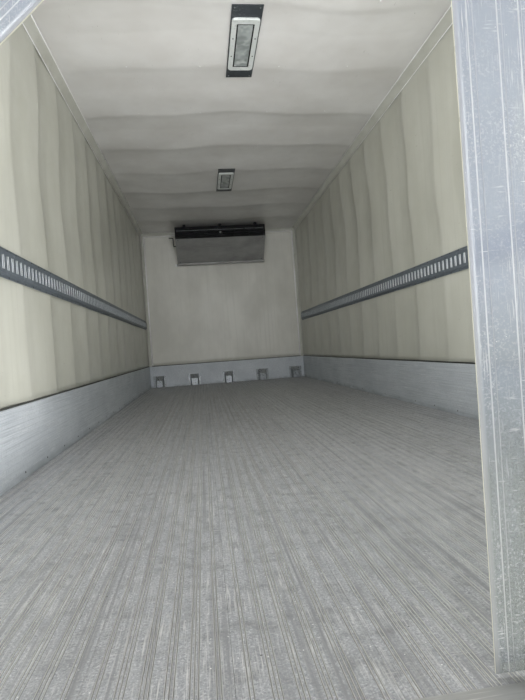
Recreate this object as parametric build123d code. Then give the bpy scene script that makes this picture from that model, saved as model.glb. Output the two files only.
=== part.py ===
"""Insulated load box of a refrigerated truck, in millimetres.

X is to the right as seen from the rear, Y is forward and Z is up. The origin is at the middle of the
whole body's length and width, on the floor that the long sills stand on. Both rear doors are modelled
as they rest, folded back along the side walls.
"""
import math
import os

from build123d import *

os.makedirs("parts", exist_ok=True)

# Load space
inside_half = 1150.0  # centreline to a kick plate's face
inside_height = 2268.0  # floor to the lowest line of the ceiling's posts
plank_run = 6860.0  # grooved floor, front kick plate to threshold
seam = 0.5  # hairline left between fixed sheets that meet
snug = 0.3  # gap round a piece that is let into another

# Stack of the floor, from the ground up
sill_h = 100.0
cross_h = 75.0
floor_panel_t = 100.0
plank_t = 28.0

# Walls, roof and linings
side_wall_t = 66.0
front_wall_t = 91.0
roof_t = 98.0
liner_t = 2.0
kick_t = 9.0
kick_h = 314.0
side_dish = 5.0  # how far a lining sinks back between two posts
front_dish = 3.0
ceiling_dish = 8.0
dish_shape = ((0.2, 0.8), (0.5, 1.0), (0.8, 0.8))  # shares of a bay and of its full depth
post_pitch = 406.4
bow_pitch = 610.0
left_first_post = 247.0
right_first_post = 117.0
first_bow = 93.0

# Rear frame and doors
frame_depth = 150.0
header_drop = 50.0
door_t = 80.0
door_proud = 8.0
door_gap = 10.0  # door edge to frame, all round
meeting_gap = 12.0  # door edge to centreline
hinge_out = 34.0  # hinge axis outside the side face and behind the rear face

# Nose unit and bumpers set the overall length
nose_depth = 480.0
bumper_depth = 90.0

# Heights and places worked out from these
cross_z = sill_h
panel_z = cross_z + cross_h
plank_z = panel_z + floor_panel_t
floor_z = plank_z + plank_t
ceiling_z = floor_z + inside_height
wall_in = inside_half + kick_t
wall_out = wall_in + side_wall_t
body_l = frame_depth + plank_run + kick_t + front_wall_t
overall_l = bumper_depth + body_l + nose_depth
rear_y = -overall_l / 2 + bumper_depth
frame_y = rear_y + frame_depth
front_y = frame_y + plank_run
front_in = front_y + kick_t
front_out = front_in + front_wall_t
roof_z = ceiling_z + ceiling_dish + liner_t
top_z = roof_z + roof_t
kick_z = floor_z + kick_h
header_z = ceiling_z - header_drop
sides = {"left": -1, "right": 1}
quarter = 1 - math.sqrt(0.5)  # share of a radius that a quarter arc's middle keeps from its corner


def block(x0, x1, y0, y1, z0, z1):
    """Box between two corners."""
    centre = Pos((x0 + x1) / 2, (y0 + y1) / 2, (z0 + z1) / 2)
    return centre * Box(abs(x1 - x0), abs(y1 - y0), abs(z1 - z0))


def along_y(points, y0, y1):
    """Outline in X and Z, run from y0 to y1."""
    return extrude(Plane.XZ.offset(-y1) * Polygon(*points, align=None), y1 - y0, dir=(0, -1, 0))


def along_x(points, x0, x1):
    """Outline in Y and Z, run from x0 to x1."""
    return extrude(Plane.YZ.offset(x0) * Polygon(*points, align=None), x1 - x0, dir=(1, 0, 0))


def along_z(points, z0, z1):
    """Outline in X and Y, run from z0 to z1."""
    return extrude(Plane.XY.offset(z0) * Polygon(*points, align=None), z1 - z0, dir=(0, 0, 1))


def rod(x, y, z0, z1, r):
    """Upright round bar."""
    return Pos(x, y, (z0 + z1) / 2) * Cylinder(r, z1 - z0)


def both(shape):
    """A right-hand shape and its mirror image."""
    return [shape, mirror(shape, Plane.YZ)]


def spread(count, pitch):
    """Places of a row centred on zero."""
    return [(k - (count - 1) / 2) * pitch for k in range(count)]


def save(name, *shapes):
    """Write one node as one compound of its solids."""
    solids = []
    for shape in shapes:
        solids += shape.solids()
    export_step(Compound(children=solids) if len(solids) > 1 else solids[0], f"parts/{name}.step")


def dished_sheet(run, first, pitch, back, proud, sunk):
    """Outline of a lining that sinks between posts: run goes along local X, thickness along local Y."""
    stops = [0.0]
    place = first
    while place < run:
        stops.append(place)
        place += pitch
    stops.append(run)
    points = [(0, back), (0, proud)]
    for start, end in zip(stops[:-1], stops[1:]):
        depth = (sunk - proud) * min(1.0, (end - start) / pitch)
        points += [(start + share * (end - start), proud + sink * depth) for share, sink in dish_shape]
        points.append((end, proud))
    points.append((run, back))
    return make_face(Polyline(*points, close=True))


# Floor planks: V grooves stand in groups across each plank
plank_w = 228.6
group_pitch = 36.5
groove_pitch = 6.5
groove_w = 3.4
groove_d = 3.0
groove_counts = [2, 3, 3, 3, 3, 2]


def plank(x0, x1, centre):
    """One extruded plank, cut to x0..x1, with its grooves at their places about its own centre."""
    points = [(x0, plank_z), (x0, floor_z)]
    for middle, count in zip(spread(len(groove_counts), group_pitch), groove_counts):
        for place in spread(count, groove_pitch):
            x = centre + middle + place
            if x0 + groove_w < x < x1 - groove_w:
                points += [(x - groove_w / 2, floor_z), (x, floor_z - groove_d), (x + groove_w / 2, floor_z)]
    points += [(x1, floor_z), (x1, plank_z)]
    return along_y(points, frame_y, front_y)


plank_count = 2 * math.ceil(inside_half / plank_w - 0.5) + 1
save("floor_planks", *[
    plank(max(x - plank_w / 2, -inside_half) + seam / 2, min(x + plank_w / 2, inside_half) - seam / 2, x)
    for x in spread(plank_count, plank_w)
])

# Insulated panels
save("floor_panel", block(-wall_in, wall_in, frame_y, front_in, panel_z, plank_z))
for side, s in sides.items():
    save(f"wall_panel_{side}", block(s * wall_in, s * wall_out, frame_y, front_in, panel_z, roof_z))
save("front_wall_panel", block(-wall_in, wall_in, front_in, front_out, panel_z, roof_z))

# Kick plates, each with fine grooves along it and a bevelled top
kick_groove_pitch = 26.0
kick_groove = 1.6
kick_bevel = 4.0


def kick_outline(face, back, inward):
    """Cross section of a kick plate: across, up."""
    bevel = [(face - inward * kick_bevel, kick_z), (face, kick_z - kick_bevel)]
    points = [(back, plank_z), (back, kick_z)] + bevel
    z = kick_z - kick_groove_pitch
    while z > floor_z + kick_groove_pitch / 2:
        points += [(face, z + kick_groove), (face - inward * kick_groove, z), (face, z - kick_groove)]
        z -= kick_groove_pitch
    points += [(face, floor_z + seam), (face - inward * seam, floor_z + seam), (face - inward * seam, plank_z)]
    return points


for side, s in sides.items():
    save(f"kick_plate_{side}", along_y(kick_outline(s * inside_half, s * wall_in, -s), frame_y, front_in))
save("kick_plate_front", along_x(kick_outline(front_y, front_in, -1), -inside_half + seam, inside_half - seam))

# Linings stand proud at the posts and roof bows and sink a little between them
first_posts = {"left": left_first_post, "right": right_first_post}
side_plane = Plane(origin=(0, front_in, kick_z), x_dir=(0, -1, 0), z_dir=(0, 0, 1))
for side, s in sides.items():
    sunk = s * (wall_in - liner_t)
    proud = s * (wall_in - liner_t - side_dish)
    face = dished_sheet(front_in - frame_y, first_posts[side], post_pitch, s * wall_in, proud, sunk)
    save(f"wall_liner_{side}", extrude(side_plane * face, roof_z - kick_z, dir=(0, 0, 1)))
liner_face = wall_in - liner_t - side_dish - seam
front_first = liner_face % post_pitch
front_face = dished_sheet(2 * liner_face, front_first, post_pitch, 0, -liner_t - front_dish, -liner_t)
front_plane = Plane(origin=(-liner_face, front_in, kick_z), x_dir=(1, 0, 0), z_dir=(0, 0, 1))
save("wall_liner_front", extrude(front_plane * front_face, roof_z - kick_z, dir=(0, 0, 1)))
front_liner_y = front_in - liner_t - front_dish - seam
ceiling_run = front_liner_y - frame_y
ceiling_face = dished_sheet(ceiling_run, first_bow, bow_pitch, 0, liner_t + ceiling_dish, liner_t)
ceiling_plane = Plane(origin=(-liner_face, front_liner_y, roof_z), x_dir=(0, -1, 0), z_dir=(1, 0, 0))
save("ceiling_liner", extrude(ceiling_plane * ceiling_face, 2 * liner_face, dir=(1, 0, 0)))

# Corner coves: a hollow-faced strip along each corner of the load space
cove_w = 45.0
cove_hollow = 16.0  # corner to the middle of the hollow face, along each leg
curtain_room = 60.0  # behind the coves' rear ends, for the strip curtain
cove_top = ceiling_z - snug
cove_side = liner_face + seam - snug
cove_front = front_liner_y + seam - snug
cove_rear = frame_y + curtain_room
cove_end = cove_w + seam  # where the next cove starts


def cove(corner, across, up):
    """Cove section with its square corner at one point and legs of the given signs."""
    x, z = corner
    ends = ((x + across * cove_w, z), (x, z + up * cove_w))
    inner = (x + across * cove_hollow, z + up * cove_hollow)
    return make_face([Line(ends[1], corner), Line(corner, ends[0]), ThreePointArc(ends[0], inner, ends[1])])


coves = []
for s in sides.values():
    long_face = Plane.XZ.offset(-cove_rear) * cove((s * cove_side, cove_top), -s, -1)
    coves.append(extrude(long_face, cove_front - cove_end - cove_rear, dir=(0, 1, 0)))
    upright_face = Plane.XY.offset(kick_z + seam) * cove((s * cove_side, cove_front), -s, -1)
    coves.append(extrude(upright_face, cove_top - kick_z - seam, dir=(0, 0, 1)))
cross_face = Plane.YZ.offset(cove_end - cove_side) * cove((cove_front, cove_top), -1, -1)
coves.append(extrude(cross_face, 2 * (cove_side - cove_end), dir=(1, 0, 0)))
save("corner_coves", *coves)

# Load tracks: formed strip with a raised web full of upright slots
track_h = 127.0
track_z = 915.0
track_t = 2.5
track_web_h = 92.0
track_rise = 11.0
track_return = 7.0
slot_pitch = 50.8
slot_w = 16.0
slot_h = 60.0
track_end = 120.0  # track stops short of the front wall and of the rear frame
track_centre = floor_z + track_z
track_run = front_y - frame_y - 2 * track_end
slot_count = int(track_run / slot_pitch) - 1


def track_outline(back, inward):
    """Closed section of the formed strip."""
    half, web = track_h / 2, track_web_h / 2
    outer = [(0, half), (track_t, half), (track_t, web + track_return), (track_rise + track_t, web)]
    inner = [(track_rise, web), (0, web + track_return)]
    points = outer + [(x, -z) for x, z in reversed(outer)]
    points += [(x, -z) for x, z in reversed(inner)] + inner
    return [(back + inward * x, track_centre + z) for x, z in points]


def load_track(s):
    """Formed strip with one slot cut at each place of the row."""
    strip = along_y(track_outline(s * cove_side, -s), frame_y + track_end, front_y - track_end)
    middle = Pos(s * (cove_side - track_rise), (frame_y + front_y) / 2, track_centre)
    cutter = Box(3 * track_t, slot_w, slot_h)
    return strip - [middle * Pos(0, place, 0) * cutter for place in spread(slot_count, slot_pitch)]


for side, s in sides.items():
    save(f"load_track_{side}", load_track(s))

# Stand-off brackets at the foot of the front wall
bracket_count = 5
bracket_end = 134.0  # kick plate's face to an outer bracket's middle
bracket_h = 166.0
bracket_rise = 52.0
bracket_ramp = 66.0
bracket_crown = 84.0
bracket_base = 128.0
bracket_flange = 28.0
bracket_t = 3.0
bracket_back = front_y - seam
bracket_foot = floor_z + snug
bracket_pitch = 2 * (inside_half - bracket_end) / (bracket_count - 1)


def hat(width, rise, base, inset):
    """Solid hat form, wall side at the front, with its top ramped back to the wall."""
    plan = [(-base / 2, bracket_back), (base / 2, bracket_back),
            (width / 2, bracket_back - rise), (-width / 2, bracket_back - rise)]
    low = bracket_foot - inset
    high = low + bracket_h
    side = [(bracket_back, low), (bracket_back, high),
            (bracket_back - rise, high - bracket_ramp), (bracket_back - rise, low)]
    return along_z(plan, low, high) & along_x(side, -base, base)


outer_hat = hat(bracket_crown, bracket_rise, bracket_base, 0)
inner_crown = bracket_crown - 2 * bracket_t
inner_hat = hat(inner_crown, bracket_rise - bracket_t, bracket_base - 2 * bracket_t, bracket_t)
flange_half = bracket_base / 2 + bracket_flange
flanges = block(-flange_half, flange_half, bracket_back - bracket_t, bracket_back,
                bracket_foot, bracket_foot + bracket_h)
bracket = outer_hat + flanges - inner_hat
save("front_wall_brackets", *[Pos(x, 0, 0) * bracket for x in spread(bracket_count, bracket_pitch)])

# Ceiling lamps: each a base plate, a bezel and the lens let into it
lamp_reaches = (4587.0, 2229.0)  # front kick plate to each lamp's middle
base_w, base_l, base_t = 168.0, 690.0, 4.0
bezel_w, bezel_l, bezel_t = 155.0, 495.0, 11.0
lens_w, lens_l, lens_t = 98.0, 415.0, 9.0
bezel_r = 22.0
bezel_edge = 4.0
base_top = ceiling_z - snug
bezel_top = base_top - base_t


def slab(w, l, t, top):
    """Plate hung from its top face."""
    return block(-w / 2, w / 2, -l / 2, l / 2, top - t, top)


lamp_base = slab(base_w, base_l, base_t, base_top)
bezel_face = Plane.XY.offset(bezel_top - bezel_t) * RectangleRounded(bezel_w, bezel_l, bezel_r)
bezel_body = extrude(bezel_face, bezel_t)
bezel = chamfer(bezel_body.faces().sort_by(Axis.Z)[0].edges(), bezel_edge)
bezel -= slab(lens_w + 2 * snug, lens_l + 2 * snug, bezel_t, bezel_top)
lens = slab(lens_w, lens_l, lens_t, bezel_top)
for name, shape in (("bases", lamp_base), ("bezels", bezel), ("lenses", lens)):
    save(f"ceiling_lamp_{name}", *[Pos(0, front_y - reach, 0) * shape for reach in lamp_reaches])

# Evaporator under the ceiling: a sloping tray with an outlet across its rear face
evap_half = 632.0
evap_depth = 475.0
evap_hang = 40.0  # ceiling to the unit's top
outlet_drop = 63.0  # ceiling to the outlet's top
outlet_h = 133.0
outlet_sill = 6.0  # unit's lip under the outlet
outlet_side = 14.0  # unit's lip at each end of the outlet
tray_drop = 483.0  # ceiling to the tray's foot
tray_foot = 110.0  # front wall to the tray's foot
evap_t = 3.0
hanger_w = 40.0
hanger_pitch = 500.0
hanger_setback = 30.0
drip_h = 22.0
drip_over = 12.0
evap_back = cove_front - cove_end
evap_rear = front_y - evap_depth
evap_top = ceiling_z - evap_hang
outlet_top = ceiling_z - outlet_drop
outlet_foot = outlet_top - outlet_h
tray_z = ceiling_z - tray_drop


def evaporator_side(inset):
    """Side outline of the unit, drawn smaller by the sheet's thickness for its inside."""
    return [
        (evap_back - inset, evap_top - inset),
        (evap_rear + inset, evap_top - inset),
        (evap_rear + inset, outlet_foot - outlet_sill + inset),
        (front_y - tray_foot + inset / 2, tray_z + inset),
        (evap_back - inset, tray_z + inset),
    ]


evap_shell = along_x(evaporator_side(0), -evap_half, evap_half)
evap_shell -= along_x(evaporator_side(evap_t), -evap_half + evap_t, evap_half - evap_t)
mouth_half = evap_half - outlet_side
evap_shell -= block(-mouth_half, mouth_half, evap_rear - evap_t, evap_rear + 2 * evap_t,
                    outlet_foot, outlet_top)
for x in spread(3, hanger_pitch):
    evap_shell += block(x - hanger_w / 2, x + hanger_w / 2, evap_rear + hanger_setback, evap_back,
                        evap_top, ceiling_z - snug)
evap_shell += block(-evap_half - drip_over, evap_half + drip_over, front_y - tray_foot - drip_over, evap_back,
                    tray_z - drip_h, tray_z)
save("evaporator_housing", evap_shell)

# Outlet moulding: an open box with level vanes and upright dividers
outlet_depth = 60.0
outlet_wall = 6.0
outlet_set = 2.0  # behind the unit's rear face
vane_count = 3
vane_t = 3.0
vane_set = 8.0
divider_pitch = 205.0
divider_t = 4.0
badge_half = 30.0  # plain block at the middle of the outlet
out_half = mouth_half - snug
out_z0, out_z1 = outlet_foot + snug, outlet_top - snug
out_y0, out_y1 = evap_rear + outlet_set, evap_rear + outlet_depth
outlet = block(-out_half, out_half, out_y0, out_y1, out_z0, out_z1)
outlet -= block(-out_half + outlet_wall, out_half - outlet_wall, out_y0 - outlet_wall, out_y1 - outlet_wall,
                out_z0 + outlet_wall, out_z1 - outlet_wall)
for k in range(vane_count):
    z = out_z0 + (k + 1) * (out_z1 - out_z0) / (vane_count + 1)
    outlet += block(-out_half + outlet_wall, out_half - outlet_wall, out_y0 + vane_set, out_y1,
                    z - vane_t / 2, z + vane_t / 2)
for x in spread(5, divider_pitch):
    outlet += block(x - divider_t / 2, x + divider_t / 2, out_y0 + vane_set, out_y1, out_z0, out_z1)
outlet += block(-badge_half, badge_half, out_y0, out_y0 + vane_set, out_z0, out_z1)
save("evaporator_outlet", outlet)

# Small hooked line beside the evaporator
line_r = 6.0
line_set = 150.0  # behind the unit's rear face
line_drop = 273.0  # ceiling to the line's lower run
line_bend = 30.0
line_rise = 115.0
line_reach = 95.0
line_lean = 6.0
line_y = evap_rear + line_set
line_z = ceiling_z - line_drop
line_route = Polyline(
    (-evap_half - snug, line_y, line_z),
    (-evap_half - line_bend, line_y, line_z),
    (-evap_half - line_bend - line_lean, line_y, line_z + line_rise),
    (-evap_half - line_reach, line_y, line_z + line_rise + line_lean),
)
line_face = Plane(line_route @ 0, z_dir=line_route % 0) * Circle(line_r)
save("evaporator_line", sweep(line_face, path=line_route, transition=Transition.RIGHT))

# Long sills: channels that open towards the centreline, with drilled tabs for the truck's frame
sill_half = 432.0
sill_flange = 65.0
sill_t = 8.0
sill_end = 10.0  # sill stops short of the body's ends
tab_l = 120.0
tab_w = 70.0
tab_t = 12.0
tab_hole_r = 9.0
tab_span = 4800.0
tab_x = sill_half + sill_flange / 2 + tab_w / 2


def sill(s):
    """Channel with one drilled tab at each end of the bolt pattern."""
    outer_x = s * (sill_half + sill_flange / 2)
    inner_x = s * (sill_half - sill_flange / 2)
    channel = block(inner_x, outer_x, rear_y + sill_end, front_out - sill_end, 0, sill_h)
    channel -= block(inner_x - s, outer_x - s * sill_t, rear_y, front_out, sill_t, sill_h - sill_t)
    for y in spread(2, tab_span):
        tab = block(outer_x - s * sill_t, outer_x + s * tab_w, y - tab_l / 2, y + tab_l / 2, 0, tab_t)
        channel += tab
        channel -= Pos(s * tab_x, y, tab_t / 2) * Cylinder(tab_hole_r, 3 * tab_t)
    return channel


for side, s in sides.items():
    save(f"sill_{side}", sill(s))

# Cross members: rolled sections on the sills, carried to the bottom rails
cross_pitch = 305.0
cross_flange = 50.0
cross_web = 5.0
cross_clear = 1.0  # end to bottom rail
cross_half = wall_in - cross_clear
cross_count = int((front_out - frame_y - cross_flange) / cross_pitch) + 1


def cross_member(y):
    """Rolled section from side to side."""
    half, web = cross_flange / 2, cross_web / 2
    low, high = cross_z, panel_z
    right = [(half, low), (half, low + cross_web), (web, low + cross_web), (web, high - cross_web),
             (half, high - cross_web), (half, high)]
    points = [(y + a, z) for a, z in right] + [(y - a, z) for a, z in reversed(right)]
    return along_x(points, -cross_half, cross_half)


cross_middle = (frame_y + front_out) / 2
save("cross_members", *[cross_member(cross_middle + place) for place in spread(cross_count, cross_pitch)])

# Edge rails: folded outside the panels, left, right and front
rail_proud = 5.0
rail_drop = 15.0  # below the cross members' feet
rail_lap = 30.0  # bottom rail above the floor and inward below it
top_rail_h = 120.0
top_rail_w = 60.0
shoulder = 14.0
shoulder_in = 4.0
post_r = 55.0
post_lap = 20.0  # corner post's flange over each panel
rail_low = cross_z - rail_drop


def bottom_rail_outline(face, outward):
    """Section outside a wall's foot: down the face, under the panel and down past the cross members' ends."""
    out = face + outward * rail_proud
    inner = face - outward * side_wall_t
    return [
        (face, floor_z + rail_lap),
        (out, floor_z + rail_lap - rail_proud),
        (out, rail_low),
        (out - outward * rail_lap, rail_low),
        (out - outward * rail_lap, rail_low + rail_proud),
        (face, rail_low + rail_proud),
        (face, panel_z - rail_proud),
        (inner, panel_z - rail_proud),
        (inner, panel_z),
        (face, panel_z),
    ]


def top_rail_outline(face, outward):
    """Angle over a roof edge with a rounded shoulder drawn as bevels."""
    out = face + outward * rail_proud
    high = top_z + rail_proud
    return [
        (face, top_z - top_rail_h),
        (out, top_z - top_rail_h),
        (out, high - shoulder),
        (out - outward * shoulder_in, high - shoulder_in),
        (out - outward * shoulder, high),
        (face - outward * top_rail_w, high),
        (face - outward * top_rail_w, top_z),
        (face, top_z),
    ]


rail_rear = frame_y + seam
rail_front = front_in - post_lap - seam
front_half = wall_in - post_lap - seam
front_strip = bottom_rail_outline(front_out, 1)[:3] + [(front_out, rail_low)]
bottom_rails = [along_y(bottom_rail_outline(s * wall_out, s), rail_rear, rail_front) for s in sides.values()]
top_rails = [along_y(top_rail_outline(s * wall_out, s), rail_rear, rail_front) for s in sides.values()]
save("bottom_rails", *bottom_rails, along_x(front_strip, -front_half, front_half))
save("top_rails", *top_rails, along_x(top_rail_outline(front_out, 1), -front_half, front_half))

# Front corner posts: rounded extrusions that fill the corner and lap both panels
out_x = wall_out + rail_proud
out_y = front_out + rail_proud
frame_top = top_z + rail_proud
post_face = make_face([
    Polyline((wall_in, front_in), (wall_out, front_in), (wall_out, front_in - post_lap),
             (out_x, front_in - post_lap), (out_x, out_y - post_r)),
    ThreePointArc((out_x, out_y - post_r), (out_x - post_r * quarter, out_y - post_r * quarter),
                  (out_x - post_r, out_y)),
    Polyline((out_x - post_r, out_y), (wall_in - post_lap, out_y), (wall_in - post_lap, front_out),
             (wall_in, front_out), (wall_in, front_in)),
])
front_post = extrude(Plane.XY.offset(rail_low) * post_face, frame_top - rail_low, dir=(0, 0, 1))
for side, post in zip(("right", "left"), both(front_post)):
    save(f"front_post_{side}", post)
roof = block(-wall_out, wall_out, frame_y, front_out, roof_z, top_z)
save("roof_panel", roof - both(block(wall_in, wall_out, front_in, front_out, roof_z, top_z)))

# Rear doors, as sizes that the hinges and lock rods share
door_low = floor_z + door_gap
door_high = header_z - door_gap
door_outer = inside_half - door_gap
door_face = rear_y - door_proud

# Hinges: a drilled knuckle on the door's strap turns on a pin between two ears on the rear post
hinge_x = wall_out + hinge_out
hinge_y = rear_y - hinge_out
hinge_half = 16.0  # half the width of a knuckle or ear about its pin
hinge_bevel = 8.0
pin_r = 8.0
pin_clear = 0.08
knuckle_l = 60.0
ear_t = 14.0
ear_clear = 0.5
ear_root = 4.0
ear_foot = 60.0
hinge_end = 200.0  # door's end to its outer hinges
strap_l = 470.0
strap_shoulder = 160.0
strap_tip = 36.0
strap_t = 8.0
post_edge = 6.0
hinge_zs = (door_low + hinge_end, (door_low + door_high) / 2, door_high - hinge_end)


def ears(z):
    """Pin with the ear above and below the knuckle."""
    far_x, far_y = hinge_x + hinge_half, hinge_y - hinge_half
    outline = [(out_x - ear_root, rear_y + post_edge), (hinge_x - hinge_half, hinge_y),
               (hinge_x - hinge_bevel, far_y), (hinge_x + hinge_bevel, far_y),
               (far_x, hinge_y - hinge_bevel), (far_x, hinge_y + hinge_bevel),
               (out_x, rear_y + ear_foot), (out_x - ear_root, rear_y + ear_foot)]
    half = knuckle_l / 2 + ear_clear
    upper = along_z(outline, z + half, z + half + ear_t)
    lower = along_z(outline, z - half - ear_t, z - half)
    return upper + lower + rod(hinge_x, hinge_y, z - half - ear_t / 2, z + half + ear_t / 2, pin_r)


def strap(z):
    """Tapered strap on the door's outer face, with its knuckle."""
    half, tip = knuckle_l / 2, strap_tip / 2
    outline = [(hinge_x, z - half), (hinge_x, z + half), (hinge_x - strap_shoulder, z + half),
               (hinge_x - strap_l, z + tip), (hinge_x - strap_l, z - tip), (hinge_x - strap_shoulder, z - half)]
    plate = along_y(outline, door_face - strap_t, door_face)
    near_x, far_x, far_y = hinge_x - hinge_half, hinge_x + hinge_half, hinge_y - hinge_half
    knuckle = [(near_x, door_face), (near_x, far_y + hinge_bevel), (near_x + hinge_bevel, far_y),
               (far_x - hinge_bevel, far_y), (far_x, far_y + hinge_bevel), (far_x, hinge_y),
               (hinge_x, hinge_y + hinge_half), (hinge_x, door_face)]
    barrel = along_z(knuckle, z - half, z + half)
    return plate + barrel - rod(hinge_x, hinge_y, z - knuckle_l, z + knuckle_l, pin_r + pin_clear)


# Rear frame
rear_post = block(inside_half, out_x, rear_y, frame_y, floor_z, frame_top)
rear_post = chamfer(rear_post.edges().filter_by(Axis.Z).group_by(Axis.X)[-1], post_edge)
for z in hinge_zs:
    rear_post += ears(z)
for side, post in zip(("right", "left"), both(rear_post)):
    save(f"rear_post_{side}", post)

# Lock rods stand off the doors and turn their cams between keepers on the header and the sill
rod_in = 160.0  # door's meeting edge to its rod
rod_r = 13.0
rod_off = 26.0
cam_half = 22.0
cam_h = 30.0
cam_reach = 60.0  # how far a cam's middle lies past the doorway's edge
keeper_gap = 6.0
keeper_t = 10.0
keeper_depth = 50.0
keeper_h = 44.0
rod_x = meeting_gap + rod_in
rod_y = door_face - rod_off
low_cam = floor_z - cam_reach
high_cam = header_z + cam_reach


def keepers(z):
    """Ears beside each door's cam, on the frame's rear face."""
    inner = rod_x + cam_half + keeper_gap
    outer = rod_x - cam_half - keeper_gap - keeper_t
    ears = []
    for x in (inner, outer):
        ears += both(block(x, x + keeper_t, rear_y - keeper_depth, rear_y, z - keeper_h / 2, z + keeper_h / 2))
    return ears


header = block(-inside_half, inside_half, rear_y, frame_y, header_z, frame_top)
for ear in keepers(high_cam):
    header += ear
save("rear_header", header)

# Threshold beam with round lamps let into its rear face
lamp_r = 54.0
lamp_depth = 30.0
lamp_proud = 8.0
lamp_xs = (700.0, 860.0)
sill_edge = 8.0
lamp_z = (sill_h + floor_z) / 2
rear_sill = block(-out_x, out_x, rear_y, frame_y, sill_h, floor_z)
rear_sill = chamfer(rear_sill.edges().filter_by(Axis.X).group_by(Axis.Y)[0].sort_by(Axis.Z)[-1], sill_edge)
for ear in keepers(low_cam):
    rear_sill += ear
lamps = []
for x in lamp_xs:
    for s in sides.values():
        place = Pos(s * x, rear_y, lamp_z) * Rot(90, 0, 0)
        rear_sill -= place * Cylinder(lamp_r + snug, 2 * lamp_depth)
        seat = place * Pos(0, 0, (lamp_proud - lamp_depth) / 2)
        lamps.append(seat * Cylinder(lamp_r, lamp_depth + lamp_proud))
save("rear_sill", rear_sill)
save("rear_lamps", *lamps)

# Dock bumpers
bumper_w = 110.0
bumper_in = 100.0  # rear frame's side to a bumper's middle
bumper_margin = 6.0
bumper_edge = 12.0
bumper_x = out_x - bumper_in
bumper = block(bumper_x - bumper_w / 2, bumper_x + bumper_w / 2, rear_y - bumper_depth, rear_y,
               sill_h + bumper_margin, floor_z - bumper_margin)
bumper = chamfer(bumper.edges().group_by(Axis.Y)[0], bumper_edge)
save("dock_bumpers", *both(bumper))

# Marker lamps on the header, the rear corners and the front
marker_w = 100.0
marker_h = 34.0
marker_depth = 18.0
marker_edge = 5.0
marker_pitch = 290.0
marker_in = 100.0  # rear frame's side to a corner lamp's middle
front_marker_in = 170.0
marker_up = 37.0  # corner lamps above the middle ones
marker_drop = 43.0  # roof edge to the front lamps' middle
marker_z = (header_z + frame_top) / 2


def marker(x, y, z, back):
    """Lamp with bevelled lens; back is the sign of the way it faces."""
    body = block(x - marker_w / 2, x + marker_w / 2, y, y + back * marker_depth,
                 z - marker_h / 2, z + marker_h / 2)
    return chamfer(body.faces().sort_by(Axis.Y)[0 if back < 0 else -1].edges(), marker_edge)


markers = [marker(x, rear_y, marker_z, -1) for x in spread(3, marker_pitch)]
markers += both(marker(out_x - marker_in, rear_y, marker_z + marker_up, -1))
markers += both(marker(out_x - front_marker_in, out_y, frame_top - marker_drop, 1))
save("marker_lamps", *markers)

# Rear doors, drawn shut and then swung open
plug_inset = 15.0
plug_edge = 10.0
flange_t = 30.0
gasket_proud = 4.0
gasket_t = 22.0
open_angle = 270.0
flange_y = door_face + flange_t


def panel():
    """Insulated door: an outer flange and the plug that fills the doorway."""
    flange = block(meeting_gap, door_outer, door_face, flange_y, door_low, door_high)
    plug = block(meeting_gap + plug_inset, door_outer - plug_inset, flange_y, door_face + door_t,
                 door_low + plug_inset, door_high - plug_inset)
    return flange + chamfer(plug.edges().group_by(Axis.Y)[-1], plug_edge)


def gasket():
    """Rubber ring round the door's inner step."""
    ring = block(meeting_gap - gasket_proud, door_outer + gasket_proud, flange_y, flange_y + gasket_t,
                 door_low - gasket_proud, door_high + gasket_proud)
    return ring - block(meeting_gap + plug_inset, door_outer - plug_inset, door_face, door_face + door_t,
                        door_low + plug_inset, door_high - plug_inset)


guide_count = 3
guide_end = 100.0  # door's end to its outer guides
guide_foot_w, guide_foot_h, guide_foot_t = 90.0, 50.0, 6.0
guide_w, guide_h = 38.0, 40.0
handle_height = 1060.0
handle_l = 420.0
handle_h = 28.0
handle_t = 10.0
catch_in = 80.0  # handle's end to its catch
catch_w, catch_h = 50.0, 60.0


def lock_gear():
    """Rod with its cams, guides, handle and catch."""
    bar = rod(rod_x, rod_y, low_cam - cam_h / 2, high_cam + cam_h / 2, rod_r)
    for z in (low_cam, high_cam):
        bar += block(rod_x - cam_half, rod_x + cam_half, rod_y - rod_r, rod_y + rod_r,
                     z - cam_h / 2, z + cam_h / 2)
    span = door_high - door_low - 2 * guide_end
    for place in spread(guide_count, span / (guide_count - 1)):
        z = (door_low + door_high) / 2 + place
        bar += block(rod_x - guide_foot_w / 2, rod_x + guide_foot_w / 2, door_face - guide_foot_t, door_face,
                     z - guide_foot_h / 2, z + guide_foot_h / 2)
        bar += block(rod_x - guide_w / 2, rod_x + guide_w / 2, rod_y - guide_w / 2, door_face,
                     z - guide_h / 2, z + guide_h / 2)
    z = floor_z + handle_height
    bar += block(rod_x, rod_x + handle_l, rod_y - handle_t, rod_y, z - handle_h / 2, z + handle_h / 2)
    catch_x = rod_x + handle_l - catch_in
    bar += block(catch_x - catch_w / 2, catch_x + catch_w / 2, rod_y, door_face,
                 z - catch_h / 2, z + catch_h / 2)
    return bar


def swung(shape):
    """Swing a right-hand door piece from shut to its rest, folded back along the side."""
    return Pos(hinge_x, hinge_y, 0) * Rot(0, 0, open_angle) * Pos(-hinge_x, -hinge_y, 0) * shape


door_pieces = {
    "door_panel": [panel()],
    "door_gasket": [gasket()],
    "door_hinges": [strap(z) for z in hinge_zs],
    "lock_rods": [lock_gear()],
}
for name, shapes in door_pieces.items():
    right = [swung(shape) for shape in shapes]
    save(f"{name}_right", *right)
    save(f"{name}_left", *[mirror(shape, Plane.YZ) for shape in right])

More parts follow.
